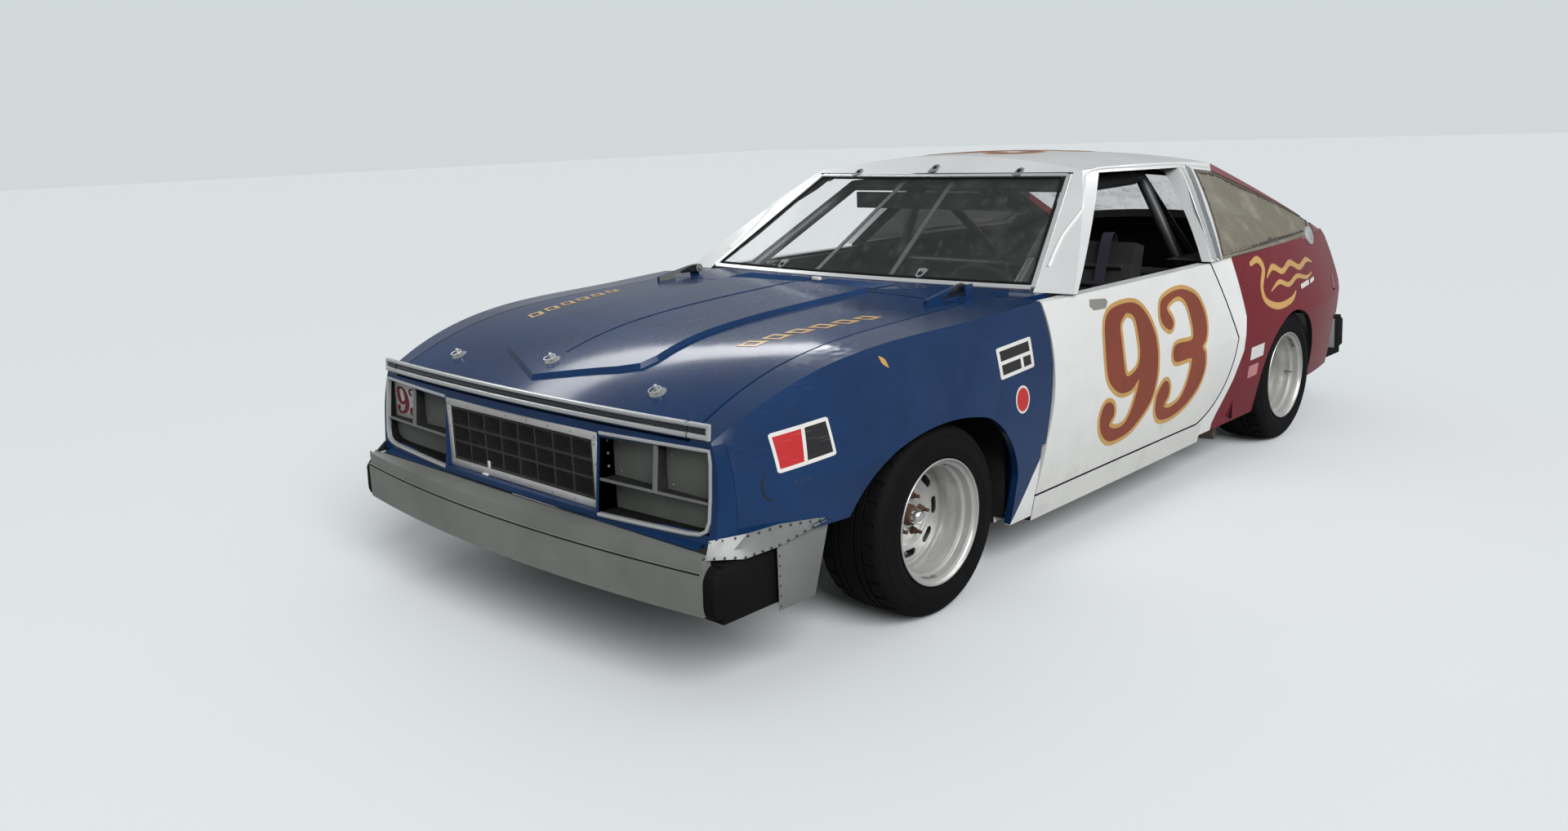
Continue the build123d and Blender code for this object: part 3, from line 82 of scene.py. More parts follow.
class Socket:
    """A node output that can be added, subtracted and multiplied, so shader maths reads as formulae."""

    def __init__(self, graph: "Graph", output: bpy.types.NodeSocket) -> None:
        """Keep the graph and the output it stands for."""
        self.graph, self.output = graph, output

    def _do(self, kind: str, a: "Value", b: "Value") -> "Socket":
        """Return the result of one maths node."""
        return self.graph.node("ShaderNodeMath", {"operation": kind}, {0: a, 1: b})

    def __add__(self, other: "Value") -> "Socket":
        """Return self + other."""
        return self._do("ADD", self, other)

    def __sub__(self, other: "Value") -> "Socket":
        """Return self - other."""
        return self._do("SUBTRACT", self, other)

    def __rsub__(self, other: "Value") -> "Socket":
        """Return other - self."""
        return self._do("SUBTRACT", other, self)

    def __mul__(self, other: "Value") -> "Socket":
        """Return self * other."""
        return self._do("MULTIPLY", self, other)

    __radd__ = __add__
    __rmul__ = __mul__

    def step(self, low: float, high: float) -> "Socket":
        """Return a smooth rise from 0 at low to 1 at high."""
        return self.graph.node("ShaderNodeMapRange", {"interpolation_type": "SMOOTHSTEP"},
                               {"Value": self, "From Min": low, "From Max": high})


Value = Union[Socket, float]


class Graph:
    """The node tree of one material."""

    def __init__(self, name: str) -> None:
        """Start an empty tree with a Principled shader and its output."""
        self.material = bpy.data.materials.new(name)
        self.material.use_nodes = True
        self.tree = self.material.node_tree
        self.tree.nodes.clear()
        self.shader = self.tree.nodes.new("ShaderNodeBsdfPrincipled")
        self.end = self.tree.nodes.new("ShaderNodeOutputMaterial")
        self.tree.links.new(self.shader.outputs[0], self.end.inputs["Surface"])
        self.coordinates: Optional[Socket] = None

    def node(self, kind: str, settings: Dict[str, object], inputs: Dict[Union[int, str], object],
             output: Union[int, str] = 0) -> Socket:
        """Make one node.

        Args:
            kind: the node's type name.
            settings: attributes, set before the inputs.
            inputs: constants and sockets by name or number.
            output: the output to return.

        Returns:
            The output as a Socket.
        """
        made = self.tree.nodes.new(kind)
        for name, value in settings.items():
            setattr(made, name, value)
        for name, value in inputs.items():
            self.set(made.inputs[name], value)
        return Socket(self, made.outputs[output])

    def set(self, target: bpy.types.NodeSocket, value: object) -> None:
        """Link a Socket to an input, or write a constant on it."""
        if isinstance(value, Socket):
            self.tree.links.new(value.output, target)
        elif target.type == "RGBA":
            target.default_value = (*value, 1.0)
        else:
            target.default_value = value

    def out(self, **inputs: object) -> None:
        """Set inputs of the Principled shader, with _ for a space in the name."""
        for name, value in inputs.items():
            self.set(self.shader.inputs[name.replace("_", " ")], value)

    def position(self) -> Socket:
        """Return the object coordinates, which are the row frame's at rest."""
        if self.coordinates is None:
            self.coordinates = self.node("ShaderNodeTexCoord", {}, {}, "Object")
        return self.coordinates

    def axis(self, letter: str) -> Socket:
        """Return one axis of the object coordinates."""
        return self.node("ShaderNodeSeparateXYZ", {}, {0: self.position()}, letter)

    def noise(self, scale: float, detail: float = 3.0, stretch: Optional[Point3] = None,
              rough: float = 0.55) -> Socket:
        """Return a noise value over the object coordinates.

        Args:
            scale: how fine the noise is, per metre.
            detail: how many octaves it has.
            stretch: a factor on each axis.
            rough: the weight of the finer octaves.

        Returns:
            A socket between 0 and 1.
        """
        place = self.position()
        if stretch:
            place = self.node("ShaderNodeMapping", {}, {"Vector": place, "Scale": stretch})
        return self.node("ShaderNodeTexNoise", {},
                         {"Vector": place, "Scale": scale, "Detail": detail, "Roughness": rough})

    def mix(self, share: Value, a: object, b: object) -> Socket:
        """Return colour a turning into colour b."""
        return self.node("ShaderNodeMix", {"data_type": "RGBA"}, {0: share, 6: a, 7: b}, 2)

    def curve(self, value: Socket, low: float, high: float, points: Outline) -> Socket:
        """Return value mapped through a broken line of points with x between low and high."""
        made = self.tree.nodes.new("ShaderNodeFloatCurve")
        line = made.mapping.curves[0]
        spots = [((x - low) / (high - low), y) for x, y in points]
        line.points[0].location = spots[0]
        line.points[1].location = spots[-1]
        for spot in spots[1:-1]:
            line.points.new(*spot)
        for point in line.points:
            point.handle_type = "VECTOR"
        made.mapping.update()
        share = self.node("ShaderNodeMapRange", {}, {"Value": value, "From Min": low, "From Max": high})
        self.set(made.inputs["Value"], share)
        return Socket(self, made.outputs[0])

    def bump(self, height: Socket, strength: float, distance: float,
             under: Optional[Socket] = None) -> Socket:
        """Return a normal disturbed by a height."""
        inputs: Dict[Union[int, str], object] = {"Height": height, "Strength": strength, "Distance": distance}
        if under is not None:
            inputs["Normal"] = under
        return self.node("ShaderNodeBump", {}, inputs)


@dataclass(frozen=True)
class Finish:
    """A worn surface: one base colour with uneven tone, dirt, scratches, a fine grain and dents."""

    name: str
    colour: Colour
    roughness: float = 0.5
    metallic: float = 0.0
    coat: float = 0.0
    tone: float = 0.12
    dirt: float = 0.25
    dirt_colour: Colour = (0.16, 0.14, 0.12)
    scratch: float = 0.15
    scratch_colour: Colour = (0.5, 0.5, 0.5)
    grain: float = 0.15
    grain_scale: float = 900.0
    # how far the colour darkens towards the bottom of the panel
    low_darkening: float = 0.0
    dents: Tuple[Tuple[float, float, float, float], ...] = ()
    shine: float = 0.4

    def build(self) -> bpy.types.Material:
        """Return the material, made once."""
        name = f"{self.name}_finish"
        known = bpy.data.materials.get(name)
        if known is not None:
            return known
        g = Graph(name)
        self.dress(g, self.paint(g))
        LOG.info("finish %s", self.name)
        return g.material

    def paint(self, g: Graph) -> object:
        """Return the colour before wear."""
        return self.colour

    def dress(self, g: Graph, base: object) -> None:
        """Add wear to a base colour and set the shader."""
        colour = g.mix((1 - g.noise(4.0, 5.0).step(0.3, 0.7)) * self.tone, base, (0.0, 0.0, 0.0))
        spots = g.noise(11.0, 8.0, rough=0.7).step(0.52, 0.78)
        dust = spots * self.dirt
        # Darker towards the bottom: under 0.58 m the colour turns toward the dirt colour, most of all under
        # 0.14 m and in the spots.
        if self.low_darkening:
            dust = dust + (1 - g.axis("Z").step(0.14, 0.58)) * (spots * 0.55 + 0.45) * self.low_darkening
        lines = g.noise(9.0, 2.0, (1, 1, 26), 0.6).step(0.66, 0.72) * g.noise(3.0, 2.0).step(0.5, 0.6)
        marks = lines * self.scratch
        colour = g.mix(marks, g.mix(dust, colour, self.dirt_colour), self.scratch_colour)
        rough = g.noise(40.0, 4.0) * 0.12 + (self.roughness - 0.06) + dust * 0.25 + marks * 0.2
        grain = g.bump(g.noise(self.grain_scale, 2.0), self.grain, 0.0006)
        normal = g.bump(g.noise(14.0, 3.0), self.grain * 0.6, 0.002, grain)
        for x, z, reach, depth in self.dents:
            along, up = g.axis("X") - x, g.axis("Z") - z
            fade = 1 - (along * along + up * up).step(reach * reach * 0.1, reach * reach)
            normal = g.bump(g.noise(9.0, 2.0, rough=0.45) * fade, 0.9, depth, normal)
        g.out(Base_Color=colour, Roughness=rough, Metallic=self.metallic, Normal=normal,
              Specular_IOR_Level=self.shine, Coat_Weight=self.coat, Coat_Roughness=0.10)


@dataclass(frozen=True)
class TwoTone(Finish):
    """A painted panel with one colour ahead of a boundary and another behind it."""

    behind: Colour = (0.8, 0.8, 0.76)
    boundary: Tuple[Point2, ...] = ((0.2, -0.5), (1.2, -0.9))

    def paint(self, g: Graph) -> Socket:
        """Return the two colours, split at the boundary given as x for each z."""
        rear, span = -2.2, 4.4
        line = g.curve(g.axis("Z"), self.boundary[0][0], self.boundary[-1][0],
                       [(z, (x - rear) / span) for z, x in self.boundary])
        share = (line * span + rear - g.axis("X")).step(-0.0008, 0.0008)
        return g.mix(share, self.colour, self.behind)


@dataclass(frozen=True)
class SheetFinish(Finish):
    """A clear plastic sheet with haze, dust and fine scratches."""

    alpha: float = 0.16
    dust: float = 0.05

    def dress(self, g: Graph, base: object) -> None:
        """Make a see-through sheet whose dust is more solid."""
        dust = g.noise(7.0, 8.0, rough=0.7).step(0.45, 0.85)
        streak = g.noise(30.0, 3.0, (1, 1, 0.2)).step(0.55, 0.75)
        g.out(Base_Color=g.mix(dust * 0.6, self.colour, (0.55, 0.52, 0.46)),
              Roughness=dust * 0.3 + self.roughness,
              Alpha=dust * self.dust + streak * self.dust * 0.6 + self.alpha,
              Normal=g.bump(g.noise(6.0, 2.0), 0.1, 0.002), Specular_IOR_Level=self.shine)


NAVY = (0.008, 0.036, 0.115)
WHITE = (0.83, 0.845, 0.825)
DULL_WHITE = (0.66, 0.68, 0.675)
MAROON = (0.17, 0.012, 0.02)
BLUE_PAINT = Finish("blue_paint", NAVY, 0.26, 0.0, 0.4, 0.25, 0.05, (0.12, 0.13, 0.16), 0.07,
                    (0.12, 0.16, 0.3), 0.03, shine=0.02)
# The white paint gets darker towards the bottom.
WHITE_PAINT = Finish("white_paint", WHITE, 0.3, 0.0, 0.4, 0.07, 0.1, (0.36, 0.34, 0.29), 0.15,
                     (0.45, 0.43, 0.4), 0.04, low_darkening=0.42)
RED_PAINT = Finish("red_paint", MAROON, 0.28, 0.0, 0.2, 0.2, 0.06, (0.2, 0.1, 0.08), 0.12, (0.35, 0.14, 0.14),
                   0.04, shine=0.05)
FENDER_PAINT = TwoTone("fender_paint", NAVY, 0.15, 0.0, 0.0, 0.25, 0.05, (0.12, 0.13, 0.16), 0.1,
                       (0.12, 0.16, 0.3), 0.04, shine=0.35, dents=((1.46, 0.63, 0.24, 0.012),
                       (1.1, 0.66, 0.15, 0.008), (1.93, 0.52, 0.1, 0.008)), behind=WHITE,
                       boundary=((0.1, 0.9),
                       (0.16, 0.86), (0.3, 0.775), (0.408, 0.7), (0.9, 0.6)))
QUARTER_PAINT = TwoTone("quarter_paint", WHITE, 0.28, 0.0, 0.2, 0.08, 0.05, (0.28, 0.18, 0.15), 0.12,
                        (0.4, 0.3, 0.3), 0.03, shine=0.05, behind=MAROON, boundary=((0.2, -0.52),
                        (0.233, -0.54), (0.351, -0.64), (0.46, -0.705), (0.594, -0.715), (0.824, -0.626),
                        (0.838, -0.63)))
ROOF_PAINT = TwoTone("roof_paint", DULL_WHITE, 0.3, 0.0, 0.35, 0.07, 0.08, (0.3, 0.26, 0.2), 0.12,
                     (0.4, 0.36, 0.33), 0.04, behind=MAROON, boundary=((0.82, -0.63), (0.9, -0.68),
                     (1.1, -0.86), (1.17, -1.0), (1.25, -1.05)))
DULL_ALLOY = Finish("dull_alloy", (0.27, 0.28, 0.25), 0.42, 0.35, 0.0, 0.2, 0.3, (0.2, 0.19, 0.16), 0.4,
                    (0.5, 0.5, 0.47), 0.2)
BRIGHT_ALLOY = Finish("bright_alloy", (0.6, 0.61, 0.61), 0.3, 0.55, 0.0, 0.08, 0.1, (0.3, 0.28, 0.26), 0.15,
                      (0.8, 0.8, 0.8), 0.03)
WHEEL_SILVER = Finish("wheel_silver", (0.52, 0.52, 0.5), 0.33, 0.55, 0.15, 0.12, 0.35, (0.16, 0.13, 0.11),
                      0.25, (0.75, 0.75, 0.74), 0.12)
RUSTY_IRON = Finish("rusty_iron", (0.105, 0.058, 0.036), 0.85, 0.15, 0.0, 0.5, 0.6, (0.06, 0.035, 0.025), 0.1,
                    (0.3, 0.15, 0.08), 0.6, 260.0)
BLACK_RUBBER = Finish("black_rubber", (0.007, 0.007, 0.007), 0.72, 0.0, 0.0, 0.3, 0.16, (0.04, 0.036, 0.032),
                      0.12, (0.06, 0.06, 0.06), 0.35, 420.0, shine=0.08)
TYRE_RUBBER = Finish("tyre_rubber", (0.007, 0.007, 0.008), 0.72, 0.0, 0.0, 0.3, 0.16, (0.035, 0.032, 0.028),
                     0.1, (0.05, 0.05, 0.05), 0.4, 500.0, shine=0.08)
CHARCOAL_TUBE = Finish("charcoal_tube", (0.045, 0.047, 0.05), 0.42, 0.1, 0.1, 0.2, 0.3, (0.14, 0.13, 0.12),
                       0.3, (0.25, 0.25, 0.25), 0.15)
FLOOR_BLACK = Finish("floor_black", (0.02, 0.02, 0.021), 0.7, 0.0, 0.0, 0.3, 0.4, (0.07, 0.064, 0.055), 0.2,
                     (0.15, 0.15, 0.15), 0.3, 300.0, shine=0.2)
PRIMER_GREY = Finish("primer_grey", (0.14, 0.148, 0.132), 0.6, 0.0, 0.0, 0.2, 0.4, (0.08, 0.075, 0.07), 0.35,
                     (0.4, 0.4, 0.38), 0.25, 350.0)
GRILLE_DARK = Finish("grille_dark", (0.135, 0.132, 0.118), 0.6, 0.0, 0.0, 0.3, 0.5, (0.13, 0.115, 0.09), 0.3,
                     (0.22, 0.22, 0.2), 0.25, shine=0.2)
SPOILER_GREY = Finish("spoiler_grey", (0.12, 0.12, 0.125), 0.5, 0.2, 0.0, 0.15, 0.3, (0.2, 0.18, 0.16), 0.3,
                      (0.35, 0.35, 0.35), 0.2)
SEAT_BLACK = Finish("seat_black", (0.02, 0.02, 0.022), 0.7, 0.0, 0.0, 0.3, 0.3, (0.1, 0.09, 0.08), 0.1,
                    (0.1, 0.1, 0.1), 0.5, 700.0)
ENGINE_GREY = Finish("engine_grey", (0.1, 0.1, 0.1), 0.55, 0.5, 0.0, 0.3, 0.6, (0.05, 0.04, 0.03), 0.2,
                     (0.4, 0.4, 0.4), 0.4, 200.0)
EXHAUST_STEEL = Finish("exhaust_steel", (0.2, 0.15, 0.12), 0.55, 0.7, 0.0, 0.4, 0.6, (0.09, 0.05, 0.03), 0.2,
                       (0.4, 0.35, 0.3), 0.3, 300.0)
CLEAR_SHEET = SheetFinish("clear_sheet", (0.55, 0.58, 0.57), 0.03, alpha=0.03, shine=0.5)
HAZY_SHEET = SheetFinish("hazy_sheet", (0.42, 0.42, 0.38), 0.15, dust=0.3, shine=0.25, alpha=0.16)
DUSTY_SHEET = SheetFinish("dusty_sheet", (0.215, 0.197, 0.15), 0.42, dust=0.1, shine=0.12, alpha=0.78)
GOLD_PAINT = Finish("gold_paint", (0.62, 0.36, 0.1), 0.4, 0.0, 0.3, 0.15, 0.15, (0.3, 0.2, 0.1), 0.3,
                    (0.7, 0.6, 0.45), 0.1)
BROWN_PAINT = Finish("brown_paint", (0.25, 0.045, 0.018), 0.42, 0.0, 0.1, 0.2, 0.12, (0.2, 0.1, 0.08), 0.25,
                     (0.4, 0.22, 0.18), 0.1)
WHITE_STICKER = Finish("white_sticker", (0.78, 0.77, 0.74), 0.35, 0.0, 0.3, 0.08, 0.3, (0.4, 0.36, 0.3), 0.3,
                       (0.4, 0.38, 0.36), 0.05)
ROSE_STICKER = Finish("rose_sticker", (0.55, 0.22, 0.22), 0.4, 0.0, 0.2, 0.15, 0.3, (0.4, 0.3, 0.28), 0.3,
                      (0.7, 0.6, 0.6))
RED_STICKER = Finish("red_sticker", (0.55, 0.02, 0.022), 0.35, 0.0, 0.3, 0.12, 0.12, (0.3, 0.1, 0.08), 0.2,
                     (0.7, 0.4, 0.4), 0.05)
BLACK_STICKER = Finish("black_sticker", (0.012, 0.012, 0.013), 0.35, 0.0, 0.3, 0.2, 0.12, (0.12, 0.12, 0.12),
                       0.2, (0.3, 0.3, 0.3), 0.05)
PATCH_GREY = Finish("patch_grey", (0.36, 0.36, 0.33), 0.55, 0.0, 0.0, 0.35, 0.7, (0.16, 0.15, 0.12), 0.4,
                    (0.6, 0.6, 0.55))
CHROME = Finish("chrome", (0.78, 0.78, 0.78), 0.14, 1.0, 0.0, 0.06, 0.1, (0.35, 0.33, 0.3), 0.2,
                (0.9, 0.9, 0.9), 0.05)
PALE_PLATE = Finish("pale_plate", (0.23, 0.24, 0.235), 0.5, 0.35, 0.0, 0.2, 0.45, (0.15, 0.145, 0.125), 0.4,
                    (0.45, 0.45, 0.43), 0.15)
SATIN_PLATE = Finish("satin_plate", (0.6, 0.6, 0.58), 0.4, 0.35, 0.0, 0.12, 0.2, (0.3, 0.28, 0.24), 0.3,
                     (0.8, 0.8, 0.78), 0.1)
BLACK_GLOSS = Finish("black_gloss", (0.012, 0.012, 0.013), 0.3, 0.0, 0.3, 0.2, 0.15, (0.1, 0.1, 0.1), 0.3,
                     (0.3, 0.3, 0.3), 0.08)
LAMP_RED = Finish("lamp_red", (0.3, 0.01, 0.012), 0.22, 0.0, 0.5, 0.2, 0.15, (0.15, 0.06, 0.05), 0.15,
                  (0.6, 0.3, 0.3))
WEBBING = Finish("webbing", (0.03, 0.032, 0.05), 0.85, 0.0, 0.0, 0.2, 0.2, (0.1, 0.1, 0.1), 0.0,
                 (0.1, 0.1, 0.1), 0.8, 900.0)
GALVANISED = Finish("galvanised", (0.2, 0.225, 0.23), 0.55, 0.35, 0.0, 0.25, 0.75, (0.09, 0.105, 0.11), 0.2,
                    (0.5, 0.52, 0.52), 0.4, 180.0)
RAGGED_SEALER = Finish("ragged_sealer", (0.045, 0.035, 0.03), 0.8, 0.0, 0.0, 0.4, 0.5, (0.16, 0.09, 0.07),
                       0.1, (0.2, 0.15, 0.12), 0.7, 300.0)
FOAM_BLACK = Finish("foam_black", (0.03, 0.03, 0.032), 0.9, 0.0, 0.0, 0.2, 0.3, (0.1, 0.1, 0.09), 0.0,
                    (0.1, 0.1, 0.1), 0.7, 350.0)
MIRROR_GLASS = Finish("mirror_glass", (0.75, 0.77, 0.78), 0.05, 1.0, 0.0, 0.03, 0.15, (0.4, 0.4, 0.38), 0.05,
                      (0.8, 0.8, 0.8), 0.0)


NODE_FINISH = (
    (FLOOR_BLACK, "firewall front_structure rear_floor dashboard wide_mirror front_crossmember rear_axle"),
    (BLUE_PAINT, "nose_panel cowl_panel"), (DULL_ALLOY, "front_bumper rear_bumper"),
    (BLACK_RUBBER, "bumper_ends steering_wheel"), (RUSTY_IRON, "knuckle_left knuckle_right"),
    (CLEAR_SHEET, "windshield"), (DUSTY_SHEET, "quarter_windows"), (HAZY_SHEET, "hatch_glass"),
    (SPOILER_GREY, "spoiler"), (CHARCOAL_TUBE, "roll_cage"), (SEAT_BLACK, "seat"),
    (ENGINE_GREY, "engine_block"), (EXHAUST_STEEL, "exhaust_pipe"),
)
FRONT_AXLE, REAR_AXLE, LIP_Y, AXLE_Z = 1.250, -1.188, 0.887, 0.278
WHEELS = ("front_left", "front_right", "rear_left", "rear_right")


@dataclass
class Bench:
    """The loaded frame, with surfaces of its nodes to lay pieces on."""

    nodes: Dict[str, bpy.types.Object]
    trees: Dict[Tuple[str, ...], BVHTree] = field(default_factory=dict)

    def drop(self, names: Tuple[str, ...], start: Vector, aim: Vector) -> Tuple[Vector, Vector]:
        """Find where a ray meets the nodes.

        Args:
            names: the nodes that the ray may meet.
            start: where it starts.
            aim: its direction.

        Returns:
            The point and the outward normal there.
        """
        if names not in self.trees:
            shape = bmesh.new()
            for name in names:
                shape.from_mesh(self.nodes[name].data)
            self.trees[names] = BVHTree.FromBMesh(shape)
            shape.free()
        spot, normal, _, _ = self.trees[names].ray_cast(start, aim)
        if spot is None:
            spot, normal, _, _ = self.trees[names].find_nearest(start)
        return spot, -normal if normal.dot(aim) > 0 else normal


def at(x: float = 0.0, y: float = 0.0, z: float = 0.0) -> Matrix:
    """Return a placement that only moves."""
    return Matrix.Translation((x, y, z))


def facing(x: float, y: float = 0.0, z: float = 0.0) -> Matrix:
    """Return a placement whose own X, Y and Z are the car's Y, Z and X."""
    return Matrix(((0, 0, 1, x), (1, 0, 0, y), (0, 1, 0, z), (0, 0, 0, 1)))


def sideways(y: float) -> Matrix:
    """Return a placement whose own X, Y and Z are the car's X, Z and Y."""
    return Matrix(((1, 0, 0, 0), (0, 0, 1, y), (0, 1, 0, 0), (0, 0, 0, 1)))


def frame_at(spot: Vector, normal: Vector, ahead: Vector = FORWARD) -> Matrix:
    """Return a placement with its Z along a normal and its X as near to ahead as it can be."""
    z = normal.normalized()
    y = z.cross(ahead)
    if y.length < 1e-4:
        y = z.cross(Vector((0, 1, 0.3)))
    y.normalize()
    return Matrix.Translation(spot) @ Matrix((y.cross(z), y, z)).transposed().to_4x4()


def polar(radius: float, angle: float) -> Point2:
    """Return the flat point at a radius and an angle."""
    return radius * math.cos(angle), radius * math.sin(angle)


def oval(wide: float, tall: float, count: int) -> List[Point2]:
    """Return an oval of a number of corners about zero."""
    return [(wide * math.cos(a), tall * math.sin(a)) for a in (2 * math.pi * k / count for k in range(count))]


def box(left: float, low: float, right: float, high: float) -> List[Point2]:
    """Return the corners of an upright rectangle."""
    return [(left, low), (right, low), (right, high), (left, high)]


def bar(half: float, low: float, high: float) -> List[Point2]:
    """Return a rectangle that reaches as far to the left as to the right."""
    return box(-half, low, half, high)


def rounded(width: float, height: float, radius: float) -> List[Point2]:
    """Return the outline of a rectangle with round corners."""
    steps, line = 5, []
    for k, (sx, sy) in enumerate(((1, 1), (-1, 1), (-1, -1), (1, -1))):
        for i in range(steps + 1):
            u, v = polar(radius, math.pi / 2 * (k + i / steps))
            line.append((sx * (width / 2 - radius) + u, sy * (height / 2 - radius) + v))
    return line


def between(points: Sequence[Sequence[float]], step: float) -> List[Vector]:
    """Return points along a broken line, no further apart than a step."""
    spots = [Vector(p) for p in points]
    line = [spots[0]]
    for a, b in zip(spots, spots[1:]):
        count = max(1, math.ceil((b - a).length / step))
        line += [a.lerp(b, k / count) for k in range(1, count + 1)]
    return line


def smooth_line(points: Sequence[Sequence[float]], per: int = 6, closed: bool = False) -> List[Vector]:
    """Return a smooth line through points, with a number of steps for each part."""
    spots = [Vector(p) for p in points]
    count = len(spots)
    line = []
    for i in range(count if closed else count - 1):
        p0 = spots[i - 1] if i or closed else spots[0]
        p1, p2 = spots[i], spots[(i + 1) % count]
        p3 = spots[(i + 2) % count] if i + 2 < count or closed else spots[-1]
        for t in (k / per for k in range(per)):
            line.append(0.5 * (2 * p1 + (p2 - p0) * t + (2 * p0 - 5 * p1 + 4 * p2 - p3) * t * t
                               + (3 * p1 - p0 - 3 * p2 + p3) * t ** 3))
    return line if closed else line + spots[-1:]


def chain(mesh: bmesh.types.BMesh, points: Iterable[Sequence[float]],
          closed: bool = True) -> Tuple[list, list]:
    """Add a line of points to a mesh and return its vertices and its edges."""
    verts = [mesh.verts.new(p) for p in points]
    ends = verts[1:] + verts[:1] if closed else verts[1:]
    return verts, [mesh.edges.new(pair) for pair in zip(verts, ends)]


def moved_points(geometry: Iterable[object]) -> List[bmesh.types.BMVert]:
    """Return the vertices in the result of an operator."""
    return [part for part in geometry if isinstance(part, bmesh.types.BMVert)]


def place_object(name: str, data: object) -> bpy.types.Object:
    """Return a new object of the scene."""
    made = bpy.data.objects.new(name, data)
    bpy.context.scene.collection.objects.link(made)
    return made


class Form:
    """A mesh under construction, made with bmesh operators. Its methods return it, for chaining."""

    def __init__(self) -> None:
        """Start empty."""
        self.bm = bmesh.new()

    def plate(self, outline: Outline, place: Matrix, depth: float, bevel: float = 0.0) -> "Form":
        """Add a flat plate.

        Args:
            outline: its corners in the plate's own X and Y.
            place: where it goes; depth is along its Z.
            depth: its thickness.
            bevel: the width of its rounded edges.

        Returns:
            The form.
        """
        part = bmesh.new()
        face = part.faces.new([part.verts.new((u, v, 0)) for u, v in outline])
        raised = bmesh.ops.extrude_face_region(part, geom=[face])["geom"]
        bmesh.ops.translate(part, verts=moved_points(raised), vec=(0, 0, depth))
        bmesh.ops.recalc_face_normals(part, faces=part.faces)
        if bevel:
            bmesh.ops.bevel(part, geom=part.edges[:], offset=bevel, offset_type="OFFSET", segments=2,
                            profile=0.5, affect="EDGES", material=-1, clamp_overlap=True)
        return self.join(part, place)

    def spin(self, profile: Outline, steps: int, place: Matrix = HERE) -> "Form":
        """Add a turned shape.

        Args:
            profile: radius and height of each corner, open at the axis or closed on itself.
            steps: how many steps the turn has.
            place: where it goes; the axis is its Z.

        Returns:
            The form.
        """
        part = bmesh.new()
        chain(part, [(r, 0, h) for r, h in profile], profile[0][0] > 1e-6 and profile[-1][0] > 1e-6)
        bmesh.ops.spin(part, geom=part.verts[:] + part.edges[:], axis=(0, 0, 1), cent=(0, 0, 0), steps=steps,
                       angle=2 * math.pi, use_merge=True)
        bmesh.ops.remove_doubles(part, verts=part.verts, dist=1e-6)
        bmesh.ops.recalc_face_normals(part, faces=part.faces)
        return self.join(part, place)

    def sweep(self, path: Sequence[Vector], normals: Union[Vector, Sequence[Vector]], section: Outline,
              closed: bool = False) -> "Form":
        """Add a bar with a section carried along a path.

        Args:
            path: the points that it follows.
            normals: the section's second axis, at each point or everywhere.
            section: its corners, across and along the normal.
            closed: joins the end to the start.

        Returns:
            The form.
        """
        part = bmesh.new()
        rings: List[list] = []
        count = len(path)
        if isinstance(normals, Vector):
            normals = [normals] * count
        for i, (spot, normal) in enumerate(zip(path, normals)):
            before = path[i - 1] if i or closed else path[0]
            after = path[(i + 1) % count] if i + 1 < count or closed else path[-1]
            run = (after - before).normalized()
            across = run.cross(normal).normalized()
            up = across.cross(run)
            rings.append(chain(part, [spot + across * s + up * t for s, t in section])[1])
        for a, b in list(zip(rings, rings[1:])) + ([(rings[-1], rings[0])] if closed else []):
            bmesh.ops.bridge_loops(part, edges=a + b)
        for ring in () if closed else (rings[0], rings[-1]):
            bmesh.ops.contextual_create(part, geom=ring)
        bmesh.ops.recalc_face_normals(part, faces=part.faces)
        return self.join(part, HERE)

    def tube(self, path: Sequence[Vector], radius: float, sides: int = 10, closed: bool = False) -> "Form":
        """Add a round bar along a path."""
        hint = Vector((0.13, 0.21, 0.97))
        run = path[len(path) // 4 if closed else -1] - path[0]
        if abs(run.normalized().dot(hint)) > 0.95:
            hint = Vector((0.97, 0.1, 0.2))
        return self.sweep(path, hint, oval(radius, radius, sides), closed)

    def join(self, part: bmesh.types.BMesh, place: Matrix = HERE) -> "Form":
        """Move a finished part to its place and take it in."""
        bmesh.ops.transform(part, matrix=place, verts=part.verts)
        if place.determinant() < 0:
            bmesh.ops.reverse_faces(part, faces=part.faces)
        mesh = bpy.data.meshes.new("part")
        part.to_mesh(mesh)
        part.free()
        self.bm.from_mesh(mesh)
        bpy.data.meshes.remove(mesh)
        return self

    def stamp(self, other: "Form", places: Iterable[Matrix] = (HERE,)) -> "Form":
        """Add a copy of another form at each place."""
        mesh = bpy.data.meshes.new("stamp")
        other.bm.to_mesh(mesh)
        for place in places:
            mesh.transform(place)
            self.bm.from_mesh(mesh)
            mesh.transform(place.inverted())
        bpy.data.meshes.remove(mesh)
        return self

    def mirrored(self) -> "Form":
        """Add the mirror image on the car's other side."""
        return self.join(self.bm.copy(), Matrix.Scale(-1, 4, (0, 1, 0)))

    def piece(self, name: str, finish: Finish, slot: str, body: str = "body",
              sharp: float = 35.0) -> bpy.types.Object:
        """Turn the form into a named object that rides on a body.

        Args:
            name: the piece's name.
            finish: its surface.
            slot: a material slot's name; not used.
            body: the CAD body that it rides on.
            sharp: edges above this angle in degrees stay crisp.

        Returns:
            The object.
        """
        for face in self.bm.faces:
            face.smooth = True
        for edge in self.bm.edges:
            edge.smooth = edge.calc_face_angle(0.0) < math.radians(sharp)
        mesh = bpy.data.meshes.new(name)
        self.bm.to_mesh(mesh)
        self.bm.free()
        made = place_object(name, mesh)
        mesh.materials.append(finish.build())
        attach(made, body)
        LOG.info("piece %s: %d faces", name, len(mesh.polygons))
        return made


